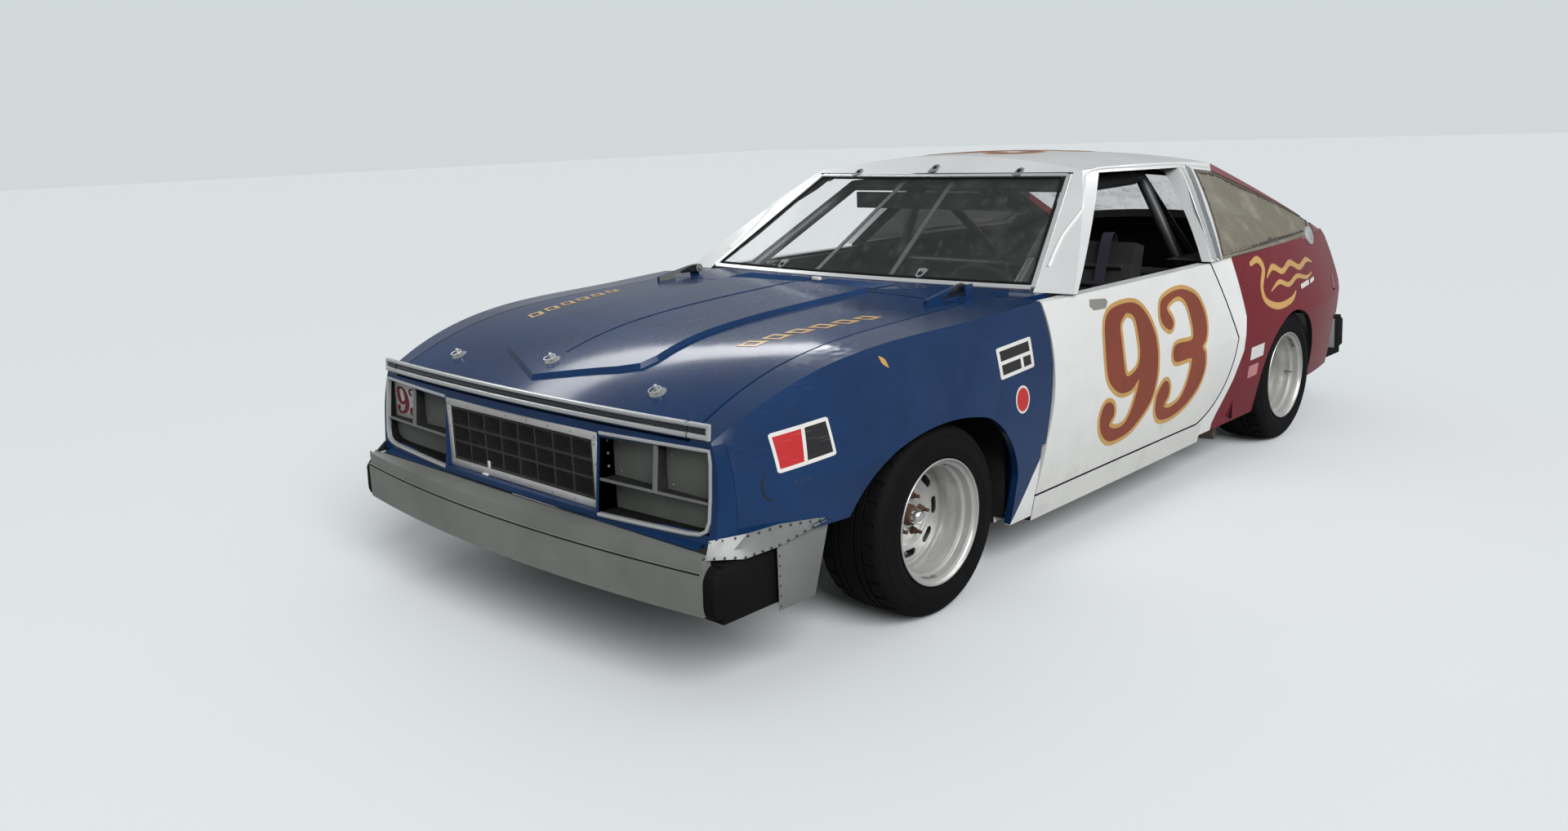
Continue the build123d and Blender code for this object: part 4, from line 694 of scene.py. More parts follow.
def rivet(radius: float = 0.004, height: float = 0.0018) -> Form:
    """Return a round rivet head with a small flange."""
    return Form().spin([(0.0, height), (radius * 0.45, height * 0.9), (radius * 0.75, height * 0.55),
                        (radius * 0.9, 0.0003), (radius, 0.0), (radius * 0.9, -0.0006), (0.0, -0.0006)], 10)


def bolt(radius: float, height: float, washer: float) -> Form:
    """Return a hexagon bolt head on a round washer."""
    form = Form().spin([(0, 0), (washer, 0), (washer, 0.0012), (washer - 0.0006, 0.0018), (0, 0.0018)], 20)
    return form.plate(oval(radius, radius, 6), at(z=0.0016), height, radius * 0.12)


def stroke(line: Sequence[Point3], per: int = 6) -> List[Point2]:
    """Return the outline of a brush stroke.

    Args:
        line: x, z and half width at points of its middle line.
        per: steps for each part of the line.

    Returns:
        The closed outline.
    """
    spots = smooth_line(line, per)
    left, right, caps = [], [], []
    for i, spot in enumerate(spots):
        run = (spots[min(i + 1, len(spots) - 1)] - spots[max(i - 1, 0)]).to_2d().normalized()
        across = Vector((-run.y, run.x)) * spot.z
        left.append((spot.x + across.x, spot.y + across.y))
        right.append((spot.x - across.x, spot.y - across.y))
    for end, near in ((spots[-1], spots[-2]), (spots[0], spots[1])):
        run = (end - near).to_2d().normalized()
        turn = math.atan2(run.y, run.x) + math.pi / 2
        caps.append([(end.x + u, end.y + v) for u, v in
                     (polar(end.z, turn - k * math.pi / 8) for k in range(1, 8))])
    return left + caps[0] + right[::-1] + caps[1]


NINE = ((18, 344), (22, 425), (70, 460), (178, 466), (250, 448), (310, 402), (356, 340), (378, 288),
        (387, 230), (383, 165), (351, 94), (263, 34), (183, 8), (80, 8), (20, 48), (2, 99), (20, 140),
        (52, 150), (86, 132), (94, 98), (66, 68), (112, 47), (173, 52), (219, 99), (256, 190), (207, 165),
        (136, 165), (73, 197), (34, 247))
NINE_EYE = ((118, 398), (145, 425), (171, 432), (215, 411), (239, 349), (254, 280), (236, 235), (169, 217),
            (143, 266), (125, 343))
THREE = ((465, 333), (412, 366), (399, 410), (425, 450), (553, 466), (674, 432), (735, 369), (760, 306),
         (754, 256), (728, 231), (753, 204), (758, 143), (720, 80), (630, 28), (531, 5), (442, 10), (398, 48),
         (397, 106), (433, 144), (464, 149), (487, 126), (485, 89), (456, 60), (501, 44), (572, 58),
         (615, 99), (639, 150), (648, 185), (638, 204), (517, 210), (513, 270), (630, 271), (651, 290),
         (634, 349), (602, 408), (555, 438), (502, 438), (450, 412), (491, 365), (491, 340))


@dataclass(frozen=True)
class Numeral:
    """The plain race number 93, drawn in millimetres with thick uprights, and its place on a panel."""

    place: Place2
    edge: float = 0.015
    under: float = 0.004

    def loop(self, shape: Outline) -> List[Point2]:
        """Return the smooth outline of a shape in metres."""
        return [(p.x / 1000, p.y / 1000) for p in smooth_line([(x, y, 0) for x, y in shape], 4, True)]

    def fills(self) -> List[List[List[Point2]]]:
        """Return each digit's outlines on the panel."""
        return [[[self.place(p) for p in self.loop(line)] for line in shape]
                for shape in ((NINE, NINE_EYE), (THREE,))]

    def widened(self, line: Outline, by: float) -> List[Point2]:
        """Return an outline moved sideways by a distance, on the panel."""
        moved = []
        for i, (x, y) in enumerate(line):
            (x0, y0), (x1, y1) = line[i - 1], line[(i + 1) % len(line)]
            run = Vector((x1 - x0, y1 - y0)).normalized()
            moved.append(self.place((x - run.y * by, y + run.x * by)))
        return moved

    def bands(self) -> List[Tuple[List[Point2], List[Point2]]]:
        """Return the two sides of the coloured line round each outline."""
        found = []
        for shape, away in ((NINE, -1), (NINE_EYE, 1), (THREE, -1)):
            loop = self.loop(shape)
            area = sum(a[0] * b[1] - b[0] * a[1] for a, b in zip(loop, loop[1:] + loop[:1]))
            sign = math.copysign(1, away * area)
            found.append((self.widened(loop, sign * self.edge), self.widened(loop, -sign * self.under)))
        return found


@dataclass
class Skin:
    """Lays flat shapes on a panel, as seen from one side."""

    bench: Bench
    surface: Tuple[str, ...]
    view: View
    cell: float = 0.03
    depth: float = 0.0004

    def land(self, u: float, v: float) -> Tuple[Vector, Vector]:
        """Return the point and normal under a flat point."""
        side = -1 if self.view is View.RIGHT else 1
        start, aim = {View.TOP: ((u, v, 1.5), (0, 0, -1)), View.FRONT: ((2.3, u, v), (-1, 0, 0)),
                      View.BACK: ((-2.5, u, v), (1, 0, 0))}.get(self.view,
                                                                ((u, side * 1.2, v), (0, -side, 0)))
        return self.bench.drop(self.surface, Vector(start), Vector(aim))

    def seat(self, u: float, v: float, lift: float = 0.0, ahead: Vector = FORWARD) -> Matrix:
        """Return a placement on the panel, lifted off it."""
        spot, normal = self.land(u, v)
        return frame_at(spot + normal * lift, normal, ahead)

    def lay(self, flat: bmesh.types.BMesh, lift: float) -> Form:
        """Cut a flat mesh in u and v into cells, lay it on the panel and give it a thickness."""
        for k, axis in enumerate((Vector((1, 0, 0)), Vector((0, 1, 0)))):
            reach = [v.co[k] for v in flat.verts]
            cut, end = min(reach) + self.cell, max(reach) - 0.001
            while cut < end:
                bmesh.ops.bisect_plane(flat, geom=flat.verts[:] + flat.edges[:] + flat.faces[:],
                                       plane_co=axis * cut, plane_no=axis, dist=1e-6)
                cut += self.cell
        bmesh.ops.triangulate(flat, faces=flat.faces)
        facing_out = Vector()
        aim = flat.verts.layers.float_vector.new("aim")
        for vert in flat.verts:
            spot, normal = self.land(vert.co.x, vert.co.y)
            facing_out += normal
            vert[aim] = normal * self.depth
            vert.co = spot + normal * lift
        bmesh.ops.recalc_face_normals(flat, faces=flat.faces)
        flat.normal_update()
        if sum((f.normal * f.calc_area() for f in flat.faces), Vector()).dot(facing_out) < 0:
            bmesh.ops.reverse_faces(flat, faces=flat.faces)
        for vert in moved_points(bmesh.ops.extrude_face_region(flat, geom=flat.faces[:])["geom"]):
            vert.co += vert[aim]
        flat.verts.layers.float_vector.remove(aim)
        bmesh.ops.recalc_face_normals(flat, faces=flat.faces)
        return Form().join(flat)

    def fill(self, shapes: Iterable[Sequence[Outline]], lift: float) -> Form:
        """Lay filled shapes, each given as its outline and the outlines of its holes."""
        form = Form()
        for outlines in shapes:
            flat = bmesh.new()
            for line in outlines:
                chain(flat, [(u, v, 0) for u, v in line])
            bmesh.ops.triangle_fill(flat, use_beauty=True, edges=flat.edges[:])
            form.stamp(self.lay(flat, lift))
        return form

    def bands(self, pairs: Iterable[Tuple[Outline, Outline]], lift: float) -> Form:
        """Lay bands, each between two closed lines."""
        form = Form()
        for pair in pairs:
            flat = bmesh.new()
            edges = [edge for line in pair for edge in chain(flat, [(u, v, 0) for u, v in line])[1]]
            bmesh.ops.bridge_loops(flat, edges=edges)
            form.stamp(self.lay(flat, lift))
        return form

    def rail(self, line: Outline, width: float, depth: float, lift: float = 0.0, step: float = 0.04) -> Form:
        """Lay a flat strip with rounded edges along a line on the panel."""
        landed = [self.land(u, v) for u, v in between(line, step)]
        half, low, shoulder = width / 2, -0.003, depth * 0.6
        section = [(-half, low), (half, low), (half, shoulder), (half - depth * 0.5, depth),
                   (depth * 0.5 - half, depth), (-half, shoulder)]
        return Form().sweep([spot + normal * lift for spot, normal in landed],
                            [n for _, n in landed], section)

    def studs(self, line: Outline, pitch: float, lift: float = 0.0) -> List[Matrix]:
        """Return places for heads along a line on the panel."""
        return [self.seat(u, v, lift) for u, v in between(line, pitch)]


def slanted(centre: Point2, size: Point2, turn: float) -> Place2:
    """Return the placement of a sticker about its centre, turned by an angle in degrees."""
    c, s = math.cos(math.radians(turn)), math.sin(math.radians(turn))
    return lambda p: (centre[0] - (p[0] * size[0] * c - p[1] * size[1] * s),
                      centre[1] + p[0] * size[0] * s + p[1] * size[1] * c)


@dataclass
class Markings:
    """The race number, plain stickers, scrolls, dashes and bare patches on the panels."""

    bench: Bench
    number_low: float = 0.300
    number_front: float = 0.385
    number_rear: float = -0.375
    roof_number: Point2 = (-0.12, 0.23)
    dash_length: float = 0.055
    dash_pitch: float = 0.077

    def build(self) -> None:
        """Lay every marking."""
        low, (x, y) = self.number_low, self.roof_number
        self.number(View.LEFT, ("door_left", "quarter_left"),
                    lambda p: (self.number_front - p[0], low + p[1]), "door_left")
        self.number(View.RIGHT, ("door_right", "quarter_right"),
                    lambda p: (self.number_rear + p[0], low + p[1]), "door_right")
        self.number(View.TOP, ("roof_frame",), lambda p: (x - p[0], y - p[1]), "body")
        for side, name in SIDES:
            self.stickers(name)
            self.scroll(name)
            self.dashes(side, name)
        self.scars()

    def number(self, view: View, surface: Tuple[str, ...], place: Place2, body: str) -> None:
        """Lay the number and the gold line round it."""
        skin, numeral = Skin(self.bench, surface, view, 0.04), Numeral(place)
        skin.bands(numeral.bands(), 0.0005).piece(f"number_line_{view.value}", GOLD_PAINT,
                                                  "white_paint", body, FLAT)
        skin.fill(numeral.fills(), 0.0011).piece(f"number_fill_{view.value}", BROWN_PAINT,
                                                 "white_paint", body, FLAT)

    def stickers(self, name: str) -> None:
        """Lay the plain blank stickers of a front fender and a quarter."""
        skin = Skin(self.bench, (f"fender_{name}", f"quarter_{name}"), View(name))
        oblong = slanted((1.762, 0.609), (0.184, 0.097), 4.0)
        block = slanted((0.880, 0.687), (0.176, 0.092), 4.0)
        upper, lower = slanted((-0.832, 0.437), (0.118, 0.052), 2.0), slanted((-0.815, 0.362),
                                                                              (0.088, 0.05), 2.0)
        field_shape, whole, base, top = rounded(1.0, 1.0, 0.06), bar(0.5, -0.5, 0.5), 0.0006, 0.0010

        def disc(p: Point2) -> Point2:
            """Return a point of the round sticker."""
            return 0.862 + 0.037 * p[0], 0.560 + 0.042 * p[1]

        for label, place, shapes, lift, finish, slot in (
                ("sticker_oblong", oblong, [field_shape], base, WHITE_STICKER, "white_paint"),
                ("sticker_block", block, [field_shape], base, WHITE_STICKER, "white_paint"),
                ("sticker_oblong_red", oblong,
                 [((-0.45, -0.40), (-0.06, -0.40), (0.02, 0.40), (-0.45, 0.40))], top, RED_STICKER,
                 "red_paint"),
                ("sticker_oblong_black", oblong, [((0.45, -0.40), (0.00, -0.40), (0.08, 0.40), (0.45, 0.40))],
                 top, BLACK_STICKER, "rubber"),
                ("sticker_block_dark", block, [box(-0.42, 0.06, 0.42, 0.38), box(-0.42, -0.38, 0.12, -0.06),
                                               box(0.20, -0.38, 0.42, -0.06)], top, BLACK_STICKER, "rubber"),
                ("sticker_disc", disc, [oval(1.0, 1.0, 40)], base, WHITE_STICKER, "white_paint"),
                ("sticker_disc_red", disc, [oval(0.84, 0.84, 40)], top, RED_STICKER, "red_paint"),
                ("label_0", upper, [whole], base, WHITE_STICKER, "white_paint"),
                ("label_1", lower, [whole], base, ROSE_STICKER, "white_paint")):
            laid = skin.fill([[[place(p) for p in shape]] for shape in shapes], lift)
            laid.piece(f"{label}_{name}", finish, slot, sharp=FLAT)

    def scroll(self, name: str) -> None:
        """Lay a plain gold scroll and two pale bars on a rear quarter."""
        skin = Skin(self.bench, (f"quarter_{name}", "roof_frame"), View(name), 0.025)
        strokes = (
            ((-0.79, 0.790, 0.010), (-0.86, 0.800, 0.014), (-0.905, 0.760, 0.016), (-0.87, 0.690, 0.014),
             (-0.90, 0.632, 0.013), (-1.02, 0.596, 0.014), (-1.16, 0.604, 0.012), (-1.22, 0.632, 0.004)),
            ((-0.93, 0.722, 0.004), (-1.00, 0.756, 0.013), (-1.10, 0.728, 0.012), (-1.20, 0.752, 0.013),
             (-1.31, 0.722, 0.012), (-1.42, 0.742, 0.011), (-1.50, 0.724, 0.003)),
            ((-0.96, 0.664, 0.003), (-1.05, 0.690, 0.010), (-1.15, 0.668, 0.010), (-1.26, 0.690, 0.010),
             (-1.38, 0.672, 0.008), (-1.47, 0.684, 0.002)))
        skin.fill([[stroke(line)] for line in strokes], 0.0007).piece(f"scroll_{name}", GOLD_PAINT,
                                                                      "red_paint",
                                                                     sharp=FLAT)
        bars = [[[(a, low), (b, low + 0.008), (b, high + 0.008), (a, high)]]
                for low, high, a, b in ((0.632, 0.652, -1.29, -1.40), (0.640, 0.656, -1.42, -1.48))]
        skin.fill(bars, 0.0007).piece(f"scroll_pale_{name}", WHITE_STICKER, "white_paint", sharp=FLAT)

    def dashes(self, side: int, name: str) -> None:
        """Lay a row of hollow, leaning gold dashes along one side of the bonnet."""
        lean, dashes = 0.040, []
        for k in range(6):
            x, y = 1.595 - self.dash_pitch * k, side * (0.508 + 0.017 * k)
            dash = []
            for front, back, share in ((0.030, -0.022, 0.5), (0.016, -0.010, 0.3)):
                reach, slant = side * self.dash_length * share, lean * share
                dash.append([(x + front, y - reach), (x + front - slant, y + reach),
                             (x + back - slant, y + reach), (x + back, y - reach)])
            dashes.append(dash)
        form = Skin(self.bench, ("hood",), View.TOP).fill(dashes, 0.0006)
        form.piece(f"bonnet_dashes_{name}", GOLD_PAINT, "blue_paint", "hood", FLAT)

    def scars(self) -> None:
        """Lay the bare patch of the left door, and the scrape, scratch and holes of the left fender."""
        patch = [(0.447, 0.806), (0.350, 0.797), (0.338, 0.786), (0.352, 0.766), (0.425, 0.768),
                 (0.450, 0.785)]
        Skin(self.bench, ("door_left",), View.LEFT).fill([[patch]], 0.0006).piece(
            "door_patch", PATCH_GREY, "primer", "door_left", FLAT)
        skin = Skin(self.bench, ("fender_left",), View.LEFT, 0.02)
        scrape = stroke(((1.452, 0.778, 0.002), (1.440, 0.764, 0.008), (1.428, 0.748, 0.002)), 5)
        skin.fill([[scrape]], 0.0008).piece("fender_scrape", GOLD_PAINT, "primer", sharp=FLAT)
        curve = stroke(((1.880, 0.560, 0.001), (1.893, 0.548, 0.002), (1.897, 0.525, 0.0025),
                        (1.890, 0.503, 0.002), (1.872, 0.494, 0.001)))
        skin.fill([[curve]], 0.0008).piece("fender_scratch", BLACK_STICKER, "rubber", sharp=FLAT)
        # Two black domes stand for holes in the fender; their black is painted shade inside the holes.
        Form().stamp(rivet(0.004, 0.0008), skin.studs([(1.800, 0.523), (1.760, 0.523)], 0.038)).piece(
            "fender_holes", BLACK_STICKER, "rubber", sharp=FLAT)


@dataclass
class NoseTrim:
    """The bright strips of the nose, the grille's frame and screen, and the lamp recesses."""

    bench: Bench
    nose_x: float = 2.029
    nose_z: float = 0.654
    lean: float = 0.103
    bow: float = 8.976
    grille_half: float = 0.366
    grille_z: Tuple[float, float] = (0.415, 0.623)
    grille_face: float = 2.026
    frame_width: float = 0.022
    lamp_back: float = 1.981

    def x(self, y: float, z: float) -> float:
        """Return the nose surface's X at y and z."""
        return self.nose_x + (self.nose_z - z) * self.lean - y * y / (2 * self.bow)

    def along(self, points: Iterable[Sequence[float]], out: float) -> List[Vector]:
        """Return points of the nose surface at each y and z, moved out along X."""
        return [Vector((self.x(y, z) + out, y, z)) for y, z in points]

    def build(self) -> None:
        """Make every piece of the nose."""
        for part in (self.strips, self.grille_frame, self.screen, self.lamps, self.lamp_boxes,
                     self.lamp_number):
            part()

    def strip(self, form: Form, reach: Point2, z: float, tall: float, out: float) -> None:
        """Add one strip over a reach in Y at a height."""
        half = tall / 2
        form.sweep(self.along(between([(y, z) for y in reach], 0.05), out), Vector((1, 0, self.lean)),
                   [(-half, -0.006), (half, -0.006), (half, 0.0015), (half - 0.002, 0.004), (0, 0.005),
                    (0.002 - half, 0.004), (-half, 0.0015)])

    def strips(self) -> None:
        """Make the paired strips with a dark band between, on the bonnet's lip and on the fenders."""
        for label, rows, out, end, finish, slot in (
                ("strip", ((0.662, 0.013), (0.690, 0.011)), 0.004, 0.762, BRIGHT_ALLOY, "frame"),
                ("band", ((0.676, 0.013),), 0.0005, 0.758, BLACK_GLOSS, "grille")):
            bonnet, ends = Form(), Form()
            for z, tall in rows:
                self.strip(bonnet, (-0.690, 0.690), z, tall, out)
                self.strip(ends, (0.699, end), z, tall, out)
            if label == "strip":
                path = [Vector((self.x(end, z) + out, 0.7625, z)) for z in (0.656, 0.676, 0.695)]
                ends.sweep(path, FORWARD, bar(0.004, -0.006, 0.004))
            bonnet.piece(f"nose_{label}_bonnet", finish, slot, "hood")
            ends.mirrored().piece(f"nose_{label}_fenders", finish, slot)

    def grille_frame(self) -> None:
        """Make the flat riveted frame round the grille, with two pale tabs."""
        (low, high), x, wide = self.grille_z, self.grille_face, self.frame_width
        half, gap = self.grille_half, 0.0005
        form, tabs = Form(), Form()
        for outline in (bar(half, low, low + wide), bar(half, high - wide, high)):
            form.plate(outline, facing(x), 0.003, 0.0008)
        for side in (-1, 1):
            inner, outer = sorted((side * half, side * (half - wide)))
            form.plate(box(inner, low + wide + gap, outer, high - wide - gap), facing(x), 0.0028, 0.0008)
        form.piece("grille_frame", SATIN_PLATE, "frame")
        spots = [(-half + 0.012 + k * 0.1017, z) for z in (low + wide / 2, high - wide / 2) for k in range(8)]
        spots += [(side * (half - wide / 2), low + wide + 0.045 + 0.055 * k) for side in (-1, 1)
                  for k in range(3)]
        Form().stamp(rivet(0.0042, 0.002), [at(x + 0.003, y, z) @ TO_FRONT for y, z in spots]).piece(
            "grille_rivets", PATCH_GREY, "frame")
        tabs.plate(rounded(0.026, 0.014, 0.003), facing(x + 0.001, -0.181, 0.411), 0.006, 0.001)
        tabs.plate(rounded(0.014, 0.022, 0.004), facing(x - 0.002, -0.160, 0.448), 0.004, 0.001)
        tabs.piece("grille_tabs", WHITE_STICKER, "white_paint")

    def screen(self) -> None:
        """Make the fine wire screen ahead of the grille's bars."""
        wires = bmesh.new()
        bmesh.ops.create_grid(wires, x_segments=108, y_segments=26, size=0.5)
        bmesh.ops.scale(wires, vec=(0.684, 0.168, 1), verts=wires.verts)
        bmesh.ops.wireframe(wires, faces=wires.faces[:], thickness=0.0013, use_boundary=True,
                            use_replace=True, use_even_offset=True)
        Form().join(wires, facing(2.0272, 0, sum(self.grille_z) / 2)).piece("grille_screen",
                                                                            FLOOR_BLACK, "grille")

    def lamps(self) -> None:
        """Make the bright rims, the rivets and the lips of the lamp recesses."""
        rim = [(0.376, 0.624), (0.764, 0.631), (0.770, 0.600), (0.773, 0.520), (0.772, 0.462), (0.763, 0.437),
               (0.742, 0.425), (0.700, 0.420), (0.376, 0.410)]
        form, lips = Form(), Form()
        form.sweep(self.along(between(rim, 0.02), 0.001), FORWARD,
                   [(-0.0045, -0.010), (0.0045, -0.010), (0.0045, 0.002), (0.002, 0.0035), (-0.002, 0.0035),
                    (-0.0045, 0.002)])
        form.mirrored().piece("lamp_rims", BRIGHT_ALLOY, "frame")
        spots = [at(2.004, 0.3795, z) @ TO_LEFT for z in (0.53, 0.565, 0.6)]
        spots += [at(self.lamp_back, y, z) @ TO_FRONT for y in (0.40, 0.56, 0.605, 0.74)
                  for z in (0.515, 0.594)]
        Form().stamp(rivet(0.004, 0.002), spots).mirrored().piece("lamp_rivets", PALE_PLATE, "frame")
        for left, right in ((0.378, 0.577), (0.587, 0.766)):
            path = self.along([(y, 0.502) for y in (left, (left + right) / 2, right)], -0.003)
            lips.sweep(path, FORWARD, bar(0.003, -0.004, 0.001))
        lips.sweep(self.along([(0.582, z) for z in (0.500, 0.56, 0.622)], -0.002), FORWARD,
                   bar(0.0065, -0.004, 0.001))
        lips.mirrored().piece("lamp_lips", PALE_PLATE, "primer")

    def lamp_boxes(self) -> None:
        """Make the hollow lamp boxes with their back plates, and their walls, post and shelf in black that is
        partly painted shade.
        """
        outline = [(0.374, 0.413), (0.700, 0.423), (0.742, 0.428), (0.762, 0.439), (0.7705, 0.462),
                   (0.7715, 0.520), (0.7645, 0.628), (0.374, 0.611)]
        back, inset = self.lamp_back - 0.001, 0.0045
        backs = Form().plate(outline, facing(self.lamp_back - 0.006), 0.006)
        part = bmesh.new()
        loop = between(outline + outline[:1], 0.02)[:-1]
        rim = chain(part, [(self.lamp_back - 0.003, y, z) for y, z in loop])[1]
        for vert in moved_points(bmesh.ops.extrude_edge_only(part, edges=rim)["geom"]):
            vert.co.x = self.x(vert.co.y, vert.co.z) - 0.0035
        bmesh.ops.solidify(part, geom=part.faces[:], thickness=0.0025)
        bmesh.ops.recalc_face_normals(part, faces=part.faces)
        walls = Form().join(part)
        front = [(self.x(y, 0.502) - inset, y) for y in (0.767, 0.70, 0.64, 0.58, 0.52, 0.45, 0.376)]
        walls.plate([(back, 0.376), (back, 0.767)] + front, at(z=0.496), 0.006, 0.0006)
        walls.plate([(back, 0.5005), (self.x(0.58, 0.50) - inset, 0.5005),
                     (self.x(0.58, 0.62) - inset, 0.6175), (back, 0.6175)], sideways(0.578), 0.008, 0.0006)
        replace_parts(backs.mirrored().piece("lamp_backs", PRIMER_GREY, "primer"), "lamp_boxes")
        # The walls, post and shelf are black paint that also stands for the shade deep in the recesses.
        walls.mirrored().piece("lamp_walls", FLOOR_BLACK, "primer", sharp=20)

    def lamp_number(self) -> None:
        """Make the small plate with the race number in the right lamp box."""
        face = facing(self.lamp_back + 0.0002)
        Form().plate([(-0.760, 0.503), (-0.590, 0.503), (-0.590, 0.612), (-0.757, 0.617)], face, 0.0015,
                     0.0004).piece(
            "lamp_number_plate", SATIN_PLATE, "white_paint")
        numeral = Numeral(lambda q: (-0.752 + q[0] * 0.195, 0.513 + q[1] * 0.195))
        digits, eyes = Form(), Form()
        for shape in numeral.fills():
            digits.plate(shape[0], face @ at(z=0.0015), 0.0006)
            for hole in shape[1:]:
                eyes.plate(hole, face @ at(z=0.0021), 0.0004)
        digits.piece("lamp_number_digits", RED_PAINT, "red_paint", sharp=FLAT)
        eyes.piece("lamp_number_eye", SATIN_PLATE, "white_paint", sharp=FLAT)


@dataclass
class BumperTrim:
    """The rubber caps, folded plates and step line of the bumpers."""

    bench: Bench
    step_z: float = 0.353

    def build(self) -> None:
        """Make every piece of the bumpers."""
        self.step_line()
        self.side_plates()
        self.folded_plate()

    def step_line(self) -> None:
        """Make a black strip of painted shade in the step under the front bumper's bevel."""
        skin = Skin(self.bench, ("front_bumper",), View.FRONT)
        spots = [skin.land(k * 0.0498, self.step_z)[0] for k in range(-16, 17)]
        path = [Vector((p.x - 0.0012, k * 0.0498, self.step_z)) for k, p in zip(range(-16, 17), spots)]
        # The strip's black is painted shade in the step, though it takes the rubber finish.
        Form().sweep(path, FORWARD, bar(0.0018, -0.003, 0.0018)).piece("bumper_step_shade", BLACK_RUBBER, "rubber")

    def side_plates(self) -> None:
        """Make the rubber corner caps of both bumpers, the flat plates behind them and their rivets."""
        for name, outline, y, depth, bevel, finish, slot in (
                ("bumper_caps_front", [(1.850, 0.226), (2.066, 0.240), (2.076, 0.262), (2.074, 0.340),
                                       (2.052, 0.368), (1.858, 0.376)], 0.778, 0.062, 0.012,
                 BLACK_RUBBER, "rubber"),
                ("bumper_side_plates", [(1.872, 0.210), (1.872, 0.388), (1.682, 0.396), (1.742, 0.210)],
                 0.8505, 0.0025, 0.0006, PALE_PLATE, "bumper"),
                ("bumper_caps_rear", [(-2.096, 0.262), (-2.085, 0.396), (-1.975, 0.408), (-1.990, 0.254)],
                 0.742, 0.062, 0.010, BLACK_RUBBER, "rubber"),
                ("bumper_rear_plates", [(-1.986, 0.262), (-1.972, 0.404), (-1.846, 0.414), (-1.842, 0.290)],
                 0.8005, 0.0025, 0.0006, PALE_PLATE, "bumper")):
            Form().plate(outline, sideways(y), depth, bevel).mirrored().piece(name, finish, slot)
        spots = [at(1.866, 0.853, 0.222 + 0.026 * k) @ TO_LEFT for k in range(6)]
        Form().stamp(rivet(0.0035), spots).mirrored().piece("bumper_side_rivets", BLACK_GLOSS, "rubber")

    def folded_plate(self) -> None:
        """Make the folded, riveted sheet that closes the gap between bumper and fender."""
        crease = [(2.052, 0.795, 0.394), (1.960, 0.838, 0.396), (1.860, 0.856, 0.402), (1.775, 0.864, 0.404)]
        upper = [(2.030, 0.782, 0.420), (1.955, 0.836, 0.430), (1.860, 0.853, 0.432), (1.700, 0.868, 0.412)]
        lower = [(2.068, 0.800, 0.386), (1.975, 0.846, 0.374), (1.870, 0.858, 0.378), (1.700, 0.868, 0.404)]
        part = bmesh.new()
        edges = [chain(part, between(row, 0.05), False)[1] for row in (upper, crease, lower)]
        for a, b in zip(edges, edges[1:]):
            bmesh.ops.bridge_loops(part, edges=a + b)
        bmesh.ops.recalc_face_normals(part, faces=part.faces)
        bmesh.ops.solidify(part, geom=part.faces[:], thickness=0.002)
        bmesh.ops.recalc_face_normals(part, faces=part.faces)
        Form().join(part).mirrored().piece("bumper_folded_plates", PALE_PLATE, "bumper", sharp=20)
        spots = [frame_at(spot + Vector((0, 0.003, inward)), Vector((0.25, 0.9, 0.3)))
                 for row, inward in ((upper, -0.005), (lower, 0.005)) for spot in between(row, 0.034)]
        Form().stamp(rivet(0.0034), spots).mirrored().piece("bumper_folded_rivets", BLACK_GLOSS, "rubber")


